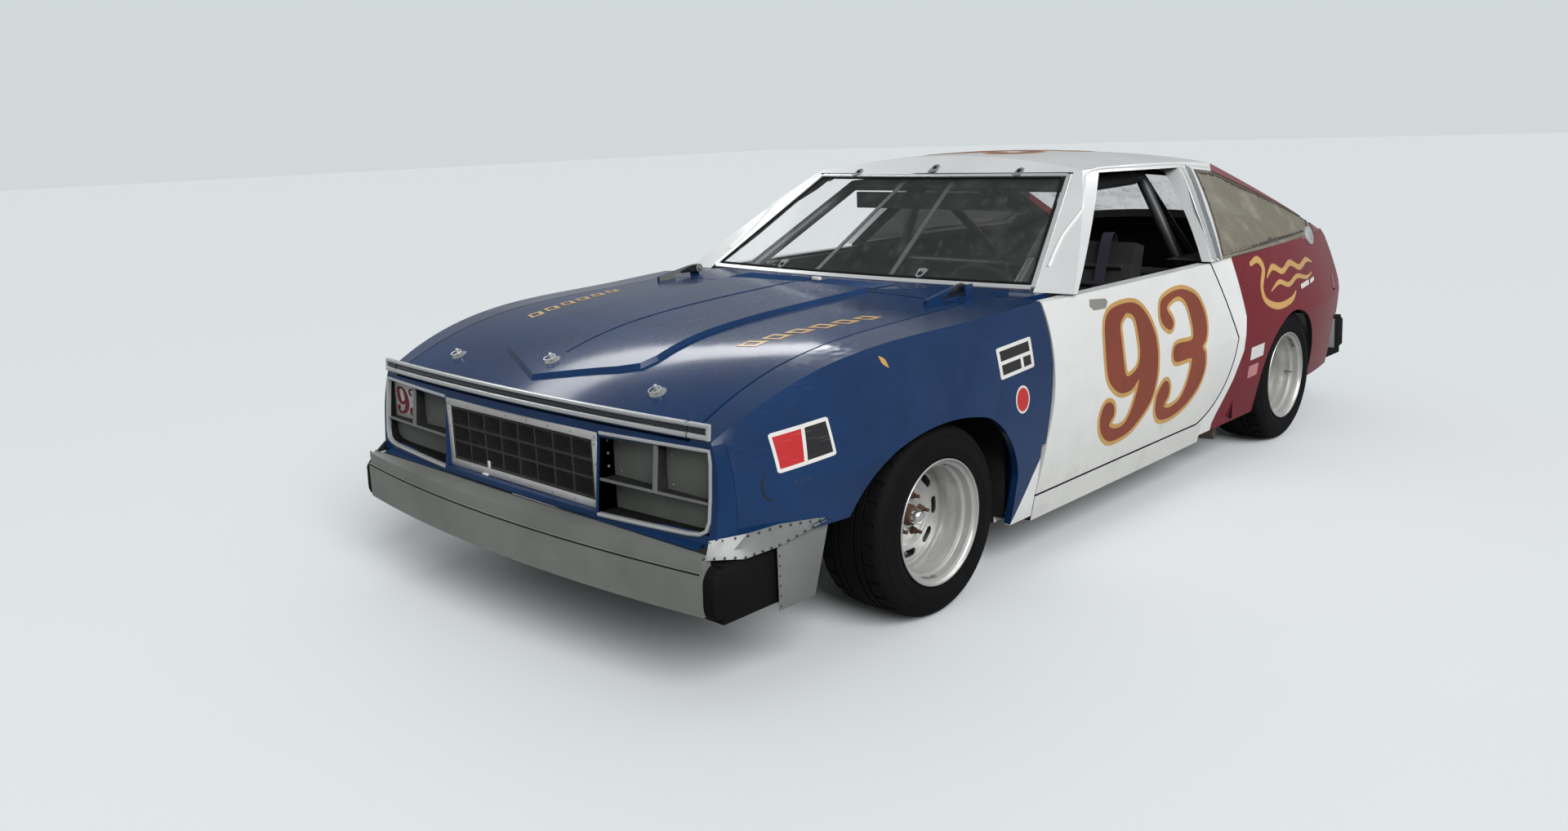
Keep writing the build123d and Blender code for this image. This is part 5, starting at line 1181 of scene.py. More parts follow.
@dataclass
class Wheel:
    """A wide tyre on a deep steel rim, with its hub, studs, weights and valve."""

    name: str
    axle: Point3
    side: int
    turn: float = 0.0
    steps: int = 120
    disc: float = -0.122
    slots: int = 8
    slot_circle: float = 0.116
    slot_half: float = 0.0115
    slot_reach: float = 0.13
    lug_circle: float = 0.057
    lugs: int = 5
    ledge: float = 0.165

    TYRE = ((0.1728, -0.0150), (0.1765, -0.0105), (0.1840, -0.0062), (0.1868, -0.0030), (0.1890, -0.0032),
            (0.1990, 0.0002), (0.2090, 0.0014), (0.2098, 0.0026), (0.2118, 0.0026), (0.2126, 0.0016),
            (0.2290, 0.0006), (0.2440, -0.0024), (0.2448, -0.0014), (0.2466, -0.0018), (0.2472, -0.0034),
            (0.2560, -0.0068), (0.2630, -0.0110), (0.2690, -0.0170), (0.2735, -0.0250), (0.2752, -0.0330),
            (0.2764, -0.0450), (0.2770, -0.0600), (0.2720, -0.0612), (0.2720, -0.0668), (0.2774, -0.0680),
            (0.2777, -0.0860), (0.2722, -0.0872), (0.2722, -0.0928), (0.2778, -0.0940), (0.2780, -0.1175))
    LIP = ((0.1724, -0.0140), (0.1745, -0.0096), (0.1798, -0.0056), (0.1816, -0.0040), (0.1818, -0.0016),
           (0.1808, -0.0002), (0.1788, 0.0002), (0.1768, -0.0008), (0.1756, -0.0034), (0.1742, -0.0078),
           (0.1716, -0.0108), (0.1672, -0.0122), (0.1644, -0.0142), (0.1634, -0.0190), (0.1630, -0.0330),
           (0.1620, -0.0362), (0.1592, -0.0384), (0.1560, -0.0394), (0.1536, -0.0408), (0.1522, -0.0440),
           (0.1516, -0.0490), (0.1512, -0.0700), (0.1500, -0.0720), (0.1500, -0.1120), (0.1504, -0.1860),
           (0.1640, -0.1960), (0.1656, -0.2200), (0.1760, -0.2346), (0.1815, -0.2346), (0.1815, -0.2300),
           (0.1724, -0.2220), (0.1724, -0.1950), (0.1590, -0.1850), (0.1590, -0.0520), (0.1724, -0.0400))
    DISC_OUTER = ((0.134, 0.007), (0.1375, 0.0062), (0.1405, 0.0035), (0.1430, 0.0), (0.1470, -0.0012),
                  (0.1500, -0.0004))
    DISC_INNER = ((0.094, 0.007), (0.0900, 0.0062), (0.0860, 0.0032), (0.0820, 0.0008), (0.0760, 0.0),
                  (0.044, 0.0), (0.0415, 0.001), (0.0400, 0.004), (0.0385, 0.005), (0.0315, 0.005))

    def place(self, out: float = 0.0) -> Matrix:
        """Return the placement with the wheel's own Z outward along its axle, moved out along it."""
        x, y, z = self.axle
        face = Matrix(((1, 0, 0, x), (0, 0, self.side, y), (0, -self.side, 0, z), (0, 0, 0, 1)))
        return face @ Matrix.Rotation(self.turn, 4, "Z") @ at(z=out)

    def build(self) -> None:
        """Make the tyre, the rim and everything on the hub."""
        name, body = self.name, f"wheel_{self.name}"
        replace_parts(self.tyre().piece(f"tyre_skin_{name}", TYRE_RUBBER, "tyre", body, 40), f"tyre_{name}")
        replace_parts(self.rim().piece(f"rim_skin_{name}", WHEEL_SILVER, "rim", body, 32), f"rim_{name}")
        self.hub().piece(f"hub_{name}", RUSTY_IRON, "frame", body, 30)
        cap = Form().spin([(0, 0.042), (0.008, 0.0412), (0.0155, 0.0378), (0.0205, 0.0320), (0.0222, 0.0250),
                           (0.0222, 0.012), (0.0236, 0.0108), (0.0236, 0.004), (0, 0.004)], 32,
                          self.place(self.disc + 0.012))
        cap.piece(f"hub_cap_{name}", CHROME, "rim", body, 30)
        self.weights().piece(f"balance_weights_{name}", PALE_PLATE, "frame", body, 30)

    def tyre(self) -> Form:
        """Return the tyre with grooves round it and cuts across its shoulders."""
        middle = self.TYRE[-1][1]
        form = Form().spin(list(self.TYRE) + [(r, 2 * middle - h) for r,
                                              h in reversed(self.TYRE[:-1])], self.steps)
        step = 2 * math.pi / self.steps
        cuts = []
        for face in form.bm.faces:
            spot = face.calc_center_median()
            depth = min(-spot.z, spot.z - 2 * middle)
            sector = int((math.atan2(spot.y, spot.x) % (2 * math.pi)) / step)
            if (spot.to_2d().length > 0.2722 and 0.028 < depth < 0.0595 and face.normal.to_2d().length > 0.6
                    and sector % 4 == 0):
                cuts.append(face)
        bmesh.ops.inset_region(form.bm, faces=cuts, thickness=0.0012, depth=-0.004, use_boundary=True,
                               use_even_offset=True)
        bmesh.ops.transform(form.bm, matrix=self.place(), verts=form.bm.verts)
        return form

    def slot(self, middle: float) -> List[Point2]:
        """Return the outline of one long slot about an angle."""
        line = []
        for sign, start in ((1, 0), (-1, math.pi)):
            radius, end = self.slot_circle + sign * self.slot_half, middle + sign * self.slot_reach
            line += [polar(radius, middle + sign * self.slot_reach * (k / 3 - 1)) for k in range(7)]
            x, y = Vector(polar(self.slot_circle, end))
            line += [(x + u, y + v) for u, v in
                     (polar(self.slot_half, end + start + math.pi * k / 7) for k in range(1, 7))]
        return line

    def rim(self) -> Form:
        """Return the rim's stepped barrel with the slotted disc."""
        disc = bmesh.new()
        for line in [oval(r, r, self.steps) for r in (self.DISC_OUTER[0][0], self.DISC_INNER[0][0])] + [
                self.slot(2 * math.pi * (k + 0.5) / self.slots) for k in range(self.slots)]:
            chain(disc, [(u, v, 0.007) for u, v in line])
        bmesh.ops.triangle_fill(disc, use_beauty=True, edges=disc.edges[:])
        for profile in (self.DISC_OUTER, self.DISC_INNER):
            ring, edges = chain(disc, [(r, 0, h) for r, h in profile], False)
            bmesh.ops.spin(disc, geom=ring + edges, axis=(0, 0, 1), cent=(0, 0, 0), steps=self.steps,
                           angle=2 * math.pi, use_merge=True)
        bmesh.ops.remove_doubles(disc, verts=disc.verts, dist=1e-5)
        bmesh.ops.recalc_face_normals(disc, faces=disc.faces)
        disc.normal_update()
        if sum(f.normal.z * f.calc_area() for f in disc.faces) < 0:
            bmesh.ops.reverse_faces(disc, faces=disc.faces)
        bmesh.ops.solidify(disc, geom=disc.faces[:], thickness=0.0045)
        bmesh.ops.recalc_face_normals(disc, faces=disc.faces)
        return Form().spin(self.LIP, self.steps, self.place()).join(disc, self.place(self.disc))

    def hub(self) -> Form:
        """Return the rusty flange with its studs and nuts."""
        centre = self.place(self.disc)
        form = Form().spin([(0.0, -0.006), (0.031, -0.006), (0.031, 0.0105), (0.0295, 0.0125),
                            (0.0280, 0.0135), (0.0270, 0.0240), (0.0255, 0.0262), (0.0, 0.0262)], 32, centre)
        nut = Form().spin([(0, -0.002), (0.0128, -0.002), (0.0128, 0.0006), (0.0112, 0.0024),
                           (0, 0.0024)], 16)
        nut.plate(oval(0.0102, 0.0102, 6), at(z=0.002), 0.013, 0.0012)
        nut.spin([(0, 0.012), (0.0054, 0.012), (0.0054, 0.0325), (0.0044, 0.0338), (0, 0.0338)], 12)
        return form.stamp(nut, [centre @ Matrix.Rotation(2 * math.pi * k / self.lugs + 0.3, 4, "Z")
                                @ at(self.lug_circle) for k in range(self.lugs)])

    def weights(self) -> Form:
        """Return the balance weights on the rim's ledge and the valve."""
        form = Form()
        for start, length in ((0.8, 0.16), (1.05, 0.10), (3.9, 0.13)):
            path = [Vector((*polar(self.ledge, start + length * k / 5), -0.0235)) for k in range(6)]
            form.sweep(path, [Vector((-p.x, -p.y, 0)).normalized() for p in path],
                       [(-0.007, -0.003), (0.007, -0.003), (0.007, 0.0035), (0.0055, 0.0052),
                        (-0.0055, 0.0052), (-0.007, 0.0035)])
        form.tube([Vector((x, 0.006, z)) for x, z in ((0.1505, -0.062), (0.146, -0.052), (0.1415, -0.038),
                                                      (0.140, -0.028))], 0.0034)
        bmesh.ops.transform(form.bm, matrix=self.place(), verts=form.bm.verts)
        return form


@dataclass
class Glasshouse:
    """The strips, clips and rivets round the windows, and the braces behind the windshield."""

    bench: Bench
    clips: Tuple[Point2, ...] = ((-0.38, 1.212), (0.0, 1.226), (0.38, 1.212), (-0.36, 0.842), (0.30, 0.842))
    screen_low: Point2 = (0.742, 0.846)
    screen_top: Point2 = (0.584, 1.178)

    def build(self) -> None:
        """Make every piece round the windows."""
        front = Skin(self.bench, ("windshield", "roof_frame"), View.FRONT)
        self.screen_strips(front)
        self.screen_clips(front)
        self.braces()
        for _, name in SIDES:
            self.pillar(name)
            self.quarter_window(name)
            self.gutter(name)

    def screen_strips(self, front: Skin) -> None:
        """Make the bright strips round the windshield and their dark seals."""
        for inset, width, depth, finish, slot, name in ((0.0, 0.020, 0.0040, BRIGHT_ALLOY, "frame", "strips"),
                                                        (0.018, 0.009, 0.0032, BLACK_RUBBER,
                                                         "rubber", "seals")):
            (y0, z0), (y1, z1) = self.screen_low, self.screen_top
            y0, z0, y1, z1 = y0 - inset, z0 + inset * 0.6, y1 - inset, z1 - inset * 0.5
            form = Form()
            for line, wide in (([(y0, z0), (y1, z1)], width), ([(-y0, z0), (-y1, z1)], width),
                               ([(0.008 - y1, z1), (y1 - 0.008, z1)], width * 0.8),
                               ([(0.008 - y0, z0), (y0 - 0.008, z0)], width)):
                form.stamp(front.rail(line, wide, depth, 0.001))
            form.piece(f"screen_{name}", finish, slot)

    def screen_clips(self, front: Skin) -> None:
        """Make the clips of the windshield, each with a bolt."""
        clips, screws = Form(), Form()
        wing = [(-0.012, -0.020), (0.026, -0.014), (0.034, 0.0), (0.026, 0.014), (-0.012, 0.020),
                (-0.018, 0.0)]
        for y, z in self.clips:
            flip = 1 if z > 1 else -1
            place = front.seat(y, z - 0.030 * flip, 0.004, LEFTWARD)
            clips.plate([(v, u * flip) for u, v in wing], place, 0.003, 0.0008)
            screws.stamp(bolt(0.0065, 0.005, 0.010), [place @ at(0, 0.012 * flip, 0.003)])
        clips.piece("screen_clips", GALVANISED, "frame")
        screws.piece("screen_clip_bolts", BLACK_GLOSS, "rubber")

    def braces(self) -> None:
        """Make the two slanted braces behind the windshield."""
        front = Skin(self.bench, ("windshield",), View.FRONT)
        form = Form()
        for low, high in ((-0.20, -0.13), (0.16, 0.10)):
            landed = [front.land(low + (high - low) * k / 8, 0.852 + 0.320 * k / 8) for k in range(9)]
            form.sweep([p - n * 0.020 for p, n in landed], [n for _, n in landed], bar(0.0095, -0.002, 0.002))
        form.piece("screen_braces", CHARCOAL_TUBE, "cage")

    def pillar(self, name: str) -> None:
        """Make the smooth and the galvanised strip on the post behind a door window."""
        skin = Skin(self.bench, ("roof_frame", "quarter_windows"), View(name))
        front = [(-0.452, 0.842), (-0.560, 1.010), (-0.690, 1.168)]
        back = [(-0.492, 0.842), (-0.612, 1.010), (-0.752, 1.166)]
        skin.rail(front, 0.034, 0.0035, 0.0012).piece(f"pillar_strip_{name}", BRIGHT_ALLOY, "frame")
        skin.rail(back, 0.032, 0.0022, 0.0012).piece(f"pillar_galvanised_{name}", GALVANISED, "frame")
        heads = skin.studs([(u - 0.004, v) for u, v in back], 0.062, 0.0034)
        Form().stamp(rivet(0.0035, 0.0016), heads).piece(f"pillar_rivets_{name}", PALE_PLATE, "frame")

    def quarter_window(self, name: str) -> None:
        """Make the rough dark edge and the rivets of the sheet that closes a quarter window."""
        skin = Skin(self.bench, ("quarter_windows",), View(name))
        rng = random.Random(12)
        corners = [(-0.545, 0.846), (-0.800, 1.146), (-0.955, 1.132), (-1.655, 0.888), (-1.600, 0.852)]
        loop = between(corners + corners[:1], 0.011)[:-1]
        centre = Vector((-1.08, 0.972))
        inner = []
        for p in loop:
            reach = rng.uniform(0.004, 0.011) if p.x > -0.83 else rng.uniform(0.007, 0.022)
            inner.append(p + (centre - p).normalized() * reach)
        skin.bands([(loop, inner)], 0.0008).piece(f"quarter_seal_{name}", RAGGED_SEALER, "rubber", sharp=FLAT)
        spots = skin.studs(corners[1:4], 0.036, 0.0010) + skin.studs([(-1.55, 0.858), (-0.60, 0.858)],
                                                                     0.042, 0.0010)
        Form().stamp(rivet(0.0042, 0.0020), spots).piece(f"quarter_rivets_{name}", BLACK_GLOSS, "rubber")

    def gutter(self, name: str) -> None:
        """Make the rain gutter over the door and quarter windows."""
        line = smooth_line([(0.470, 0.905), (0.300, 1.020), (0.120, 1.135), (0.000, 1.190), (-0.320, 1.190),
                            (-0.66, 1.184), (-0.960, 1.158)], 5)
        skin = Skin(self.bench, ("roof_frame",), View(name))
        skin.rail(line, 0.008, 0.0065, 0.0, 0.05).piece(f"gutter_{name}", WHITE_PAINT, "white_paint")


@dataclass
class Bonnet:
    """The bonnet's hinge plates and pins, the cowl's louvres and what stands in the engine bay."""

    bench: Bench
    hinge_y: float = 0.620
    hinge: Point2 = (0.764, 0.864)
    pins: Tuple[Point2, ...] = ((1.905, 0.475), (1.905, -0.475), (1.890, 0.0))
    louvre_pitch: float = 0.0098

    def build(self) -> None:
        """Make every piece of the bonnet, the cowl and the bay."""
        self.hinges()
        self.pin_seats()
        self.louvres()
        self.bay()

    def hinges(self) -> None:
        """Make the hinge plates with a bolt and a pale washer through each."""
        plate, bolts = Form(), Form()
        outline = [(0.7525, 0.851), (0.7535, 0.8735), (0.772, 0.8795), (0.802, 0.8780), (0.858, 0.8590),
                   (0.852, 0.852)]
        for side, _ in SIDES:
            y = side * self.hinge_y
            plate.plate(outline, sideways(y - 0.0072), 0.0144, 0.001)
            spot = Vector((self.hinge[0], y - side * 0.0102, self.hinge[1]))
            bolts.stamp(bolt(0.0085, 0.007, 0.016), [frame_at(spot, Vector((0, -side, 0)))])
        plate.piece("bonnet_hinges", BLACK_GLOSS, "rubber", "hood")
        bolts.piece("bonnet_hinge_bolts", PALE_PLATE, "frame", "hood")

    def pin_seats(self) -> None:
        """Make the bonnet pins with their plates and clips."""
        skin = Skin(self.bench, ("hood",), View.TOP)
        disc = Form().spin([(0, -0.002), (0.024, -0.002), (0.024, 0.0008), (0.0228, 0.0018), (0.0095, 0.0022),
                            (0.0088, 0.0030), (0, 0.0030)], 32)
        post = Form().spin([(0, -0.004), (0.0058, -0.004), (0.0058, 0.0190), (0.0044, 0.0235),
                            (0, 0.0238)], 16)
        post.tube([Vector((u + 0.006, v, 0.0135)) for u, v in oval(0.017, 0.017, 20)], 0.0016, 6, True)
        places = [skin.seat(x, y) for x, y in self.pins]
        Form().stamp(disc, places).piece("bonnet_pin_seats", PALE_PLATE, "frame", "hood", 25)
        Form().stamp(post, places).piece("bonnet_pins", BRIGHT_ALLOY, "frame", "hood", 30)

    def louvres(self) -> None:
        """Make the rows of narrow louvres in the cowl, a black sheet of painted shade under them and the
        washer jet.
        """
        skin = Skin(self.bench, ("cowl_panel",), View.TOP)
        form, shade_fields = Form(), []
        for low, high in ((0.006, 0.300), (-0.385, -0.050)):
            count = round((high - low) / self.louvre_pitch)
            for y in (low + (k + 0.5) * (high - low) / count for k in range(count)):
                landed = [skin.land(u, v) for u, v in between([(0.842 - 0.04 * abs(y), y), (0.706, y)], 0.05)]
                form.sweep([s + n * 0.0008 for s, n in landed], [n for _, n in landed],
                           [(-0.0032, -0.002), (0.0032, -0.002), (0.0028, 0.0016), (0.0008, 0.0036),
                            (-0.0022, 0.0024)])
            # Under each row a black field is painted shade between the louvres.
            shade_fields.append([[(0.846, low - 0.004), (0.846, high + 0.004), (0.700, high + 0.004),
                            (0.700, low - 0.004)]])
        form.piece("cowl_louvres", BLUE_PAINT, "blue_paint")
        skin.fill(shade_fields, 0.0004).piece("cowl_louvre_shade", FLOOR_BLACK, "floor", sharp=FLAT)
        Form().plate(rounded(0.040, 0.018, 0.008), skin.seat(0.742, -0.022, 0.002, LEFTWARD), 0.010,
                     0.001).piece(
            "cowl_jet", WHITE_STICKER, "white_paint")

    def bay(self) -> None:
        """Make the air cleaner, the radiator's cap, the hose and leads, and the inner sheets of the bay."""
        steel, rubber = Form(), Form()
        steel.spin([(0, -0.012), (0.115, -0.012), (0.118, -0.008), (0.118, 0.012), (0.125, 0.014),
                    (0.125, 0.018), (0.110, 0.022), (0.02, 0.025), (0.012, 0.030), (0, 0.031)], 40,
                   at(1.30, 0, 0.718))
        steel.spin([(0, 0), (0.026, 0), (0.028, 0.004), (0.028, 0.012), (0.022, 0.016), (0, 0.017)], 24,
                   at(1.857, -0.20, 0.640))
        steel.piece("bay_air_cleaner", BRIGHT_ALLOY, "engine", sharp=30)
        hose = [(1.83, 0.28, 0.60), (1.76, 0.28, 0.612), (1.68, 0.20, 0.655), (1.61, 0.10, 0.668),
                (1.58, 0.08, 0.66)]
        rubber.tube(smooth_line(hose), 0.019, 14)
        for x in (1.04 + 0.13 * k for k in range(4)):
            rubber.tube(smooth_line([(x, 0.205, 0.702), (x, 0.20, 0.722), (x + 0.02, 0.13, 0.730),
                                     (1.02, 0.06, 0.722), (0.96, 0.03, 0.708)], 5), 0.0042, 8)
        rubber.piece("bay_hoses", BLACK_RUBBER, "rubber", sharp=30)
        sheet = [(0.856, 0.300), (1.828, 0.345), (1.828, 0.590), (1.620, 0.640), (1.200, 0.690),
                 (0.856, 0.700)]
        Form().plate(sheet, sideways(0.476), 0.002, 0.0006).mirrored().piece("bay_sides",
                                                                             FLOOR_BLACK, "floor")
        heads = [at(x, 0.478, z - 0.014) @ TO_LEFT for x, z in between(sheet[2:], 0.07)[1:-1]]
        Form().stamp(rivet(0.005, 0.002), heads).mirrored().piece("bay_side_rivets", PALE_PLATE, "frame")


@dataclass
class Tail:
    """The lamps, blank plate, filler cap, markers and spoiler rivets at the rear."""

    bench: Bench
    filler: Point3 = (-1.572, 1.2, 1.2)
    lamp_z: float = 0.655
    lamp_tall: float = 0.096

    def build(self) -> None:
        """Make every piece of the tail."""
        for _, name in SIDES:
            skin = Skin(self.bench, (f"quarter_{name}",), View(name))
            mark = [(-1.800, 0.572), (-1.812, 0.632), (-1.836, 0.632), (-1.836, 0.572)]
            skin.fill([[mark]], 0.0010).piece(f"side_marker_{name}", LAMP_RED, "closed_sheet", sharp=FLAT)
            rim = skin.rail([(-1.800, 0.566), (-1.836, 0.566)], 0.006, 0.003)
            rim.piece(f"side_marker_rim_{name}", BLACK_RUBBER, "rubber")
        self.cap()
        skin = Skin(self.bench, ("tail_panel",), View.BACK)
        self.lamps(skin)
        self.plate(skin)
        blade = Skin(self.bench, ("spoiler",), View.TOP)
        Form().stamp(rivet(0.005, 0.0022), [blade.seat(-1.935, k * 0.108) for k in range(-6, 7)]).piece(
            "spoiler_rivets", PALE_PLATE, "frame")

    def cap(self) -> None:
        """Make the bright oval filler cap on the left quarter's shoulder."""
        spot, normal = self.bench.drop(("quarter_left",), Vector(self.filler), Vector((0, -0.72, -0.68)))
        place = frame_at(spot, normal, Vector((1, 0, -0.3)))
        form = Form().plate(oval(0.060, 0.040, 36), place @ at(z=-0.008), 0.016, 0.004)
        form.plate(rounded(0.012, 0.042, 0.004), place @ at(z=0.006), 0.007, 0.0015)
        form.piece("filler_cap", BRIGHT_ALLOY, "frame", sharp=30)

    def lamps(self, skin: Skin) -> None:
        """Make the ribbed tail lamps and their rims."""
        lamps, rims = Form(), Form()
        for side, _ in SIDES:
            for centre, wide in ((0.600, 0.150), (0.448, 0.120)):
                place = skin.seat(side * centre, self.lamp_z, 0.0, LEFTWARD)
                lamps.plate(rounded(wide, self.lamp_tall, 0.012), place @ at(z=-0.004), 0.010, 0.002)
                for k in range(4):
                    lamps.plate(rounded(wide - 0.02, 0.004, 0.0018), place @ at(0, -0.03 + 0.02 * k, 0.0055),
                                0.0016, 0.0005)
                ring = [place @ Vector((u, v, 0.001)) for u,
                        v in rounded(wide + 0.008, self.lamp_tall + 0.008, 0.015)]
                rims.sweep(ring, place.col[2].to_3d(), bar(0.004, -0.003, 0.006), True)
        lamps.piece("tail_lamps", LAMP_RED, "closed_sheet", sharp=30)
        rims.piece("tail_lamp_rims", BRIGHT_ALLOY, "frame", sharp=30)

    def plate(self, skin: Skin) -> None:
        """Make the blank plate with its two bolts."""
        place = skin.seat(0, 0.640, 0.0, LEFTWARD)
        Form().plate(rounded(0.305, 0.150, 0.008), place @ at(z=0.001), 0.002, 0.0006).piece(
            "blank_plate", PALE_PLATE, "frame")
        Form().stamp(bolt(0.005, 0.003, 0.008), [place @ at(u, 0.06, 0.003) for u in (-0.10, 0.10)]).piece(
            "blank_plate_bolts", BLACK_GLOSS, "rubber")


@dataclass
class Cabin:
    """Belts, gauges, switches, gear lever, padding, mirror and extinguisher inside the cage."""

    bench: Bench
    seat_y: float = 0.400
    dash_x: float = 0.400
    webbing: float = 0.022

    def build(self) -> None:
        """Make every piece of the cabin."""
        self.belts()
        self.gauges()
        self.controls()
        self.padding()

    def belts(self) -> None:
        """Make the shoulder and lap belts with their buckle, and the folds of the seat."""
        form, folds, seat = Form(), Form(), self.seat_y
        section = bar(self.webbing, -0.001, 0.0012)
        for side, _ in SIDES:
            y = seat + side * 0.085
            form.sweep(smooth_line([(-0.445, y, 0.800), (-0.415, y, 0.915), (-0.372, y, 0.905),
                                    (-0.300, y - side * 0.01, 0.640), (-0.215, y - side * 0.03, 0.380),
                                    (-0.170, seat + side * 0.02, 0.330)]), Vector((0.85, 0, 0.35)), section)
            form.sweep(smooth_line([(-0.20, seat + side * 0.19, 0.300), (-0.13, seat + side * 0.12, 0.330),
                                    (-0.15, seat + side * 0.03, 0.325)]), Vector((0.4, 0, 0.9)), section)
        form.piece("belts", WEBBING, "seat", sharp=40)
        Form().plate(rounded(0.062, 0.052, 0.012),
                     frame_at(Vector((-0.160, seat, 0.330)), Vector((0.5, 0, 0.85))), 0.012,
                     0.003).piece("belt_buckle", BRIGHT_ALLOY, "frame")
        for z in (0.40 + 0.068 * k for k in range(7)):
            x = -0.190 - (z - 0.27) * 0.3175 + 0.006
            folds.tube([Vector((x, seat - 0.165, z)), Vector((x + 0.003, seat, z)),
                        Vector((x, seat + 0.165, z))],
                       0.010)
        folds.piece("seat_folds", SEAT_BLACK, "seat", sharp=40)

    def gauges(self) -> None:
        """Make the round gauges with plain dials and the switch row on the dash."""
        rims, dials, hands, switches = Form(), Form(), Form(), Form()
        back = frame_at(Vector((0, 0, 0)), BACKWARD, Vector((0, -1, 0)))
        for y, z, r in ((0.46, 0.712, 0.048), (0.345, 0.712, 0.036), (0.56, 0.700, 0.027),
                        (0.265, 0.70, 0.027), (0.195, 0.70, 0.027)):
            place = at(self.dash_x, y, z) @ back
            rims.spin([(r, -0.002), (r + 0.005, -0.002), (r + 0.005, 0.008), (r + 0.003, 0.0105), (r, 0.009)],
                      32, place)
            dials.spin([(0, 0.003), (r + 0.001, 0.003), (r + 0.001, -0.002), (0, -0.002)], 32, place)
            for k in range(9):
                mark = place @ Matrix.Rotation(math.radians(-130 + 32.5 * k), 4, "Z") @ at(0, r * 0.84, 0.003)
                hands.plate(bar(0.0011, -r * 0.08, r * 0.08), mark, 0.0006)
            hands.plate([(-0.0015, -r * 0.15), (0.0015, -r * 0.15), (0.0006, r * 0.74), (-0.0006, r * 0.74)],
                        place @ Matrix.Rotation(0.8 + y * 3, 4, "Z") @ at(z=0.004), 0.0008)
        rims.piece("gauge_rims", BRIGHT_ALLOY, "frame", sharp=30)
        dials.piece("gauge_dials", BLACK_GLOSS, "frame", sharp=30)
        hands.piece("gauge_marks", WHITE_STICKER, "white_paint", sharp=30)
        for k in range(5):
            switches.spin([(0, 0.0), (0.008, 0.0), (0.008, 0.003), (0.0035, 0.004), (0.003, 0.020),
                           (0.0036, 0.022), (0, 0.0235)], 12, at(self.dash_x, 0.06 - 0.045 * k, 0.70) @ back)
        switches.piece("dash_switches", BRIGHT_ALLOY, "frame", sharp=30)

    def controls(self) -> None:
        """Make the gear lever with its boot and knob, and the extinguisher."""
        boot = Form().spin([(0, 0), (0.062, 0), (0.060, 0.006), (0.050, 0.012), (0.052, 0.022),
                            (0.038, 0.030), (0.040, 0.040), (0.024, 0.048), (0.020, 0.060), (0.009, 0.066),
                            (0, 0.066)], 32,
                           at(0.18, 0.02, 0.280))
        boot.spin([(0, -0.001), (0.012, 0.0), (0.021, 0.010), (0.024, 0.022), (0.020, 0.036), (0.010, 0.043),
                   (0, 0.045)], 24, at(0.108, 0.045, 0.553))
        boot.piece("lever_boot", BLACK_RUBBER, "rubber", sharp=40)
        lever = [(0.18, 0.02, 0.330), (0.165, 0.028, 0.420), (0.12, 0.042, 0.500), (0.108, 0.045, 0.560)]
        Form().tube(smooth_line(lever), 0.0065, 12).piece("gear_lever", BRIGHT_ALLOY, "frame", sharp=40)
        bottle = Form().spin([(0, 0), (0.045, 0), (0.052, 0.006), (0.054, 0.014), (0.054, 0.290),
                              (0.048, 0.318), (0.030, 0.338), (0.014, 0.346), (0.014, 0.366), (0, 0.366)], 32,
                             at(-0.62, -0.185, 0.225) @ TO_LEFT.inverted())
        bottle.piece("extinguisher", RED_STICKER, "red_paint")

    def padding(self) -> None:
        """Make the foam sleeves on the cage by the driver and the glass of the wide mirror."""
        form = Form()
        for ends in (((0.34, 0.602, 0.900), (0.02, 0.545, 1.088)),
                     ((-0.14, 0.524, 1.1316), (-0.50, 0.524, 1.1388))):
            form.tube(between(ends, 0.06), 0.0265, 16)
        form.piece("cage_padding", FOAM_BLACK, "rubber", sharp=40)
        face = frame_at(Vector((-0.0452, -0.115, 1.0725)), BACKWARD, Vector((0, -1, 0)))
        Form().plate(rounded(0.714, 0.054, 0.006), face, 0.0022, 0.0007).piece("mirror_glass",
                                                                               MIRROR_GLASS, "mirror")


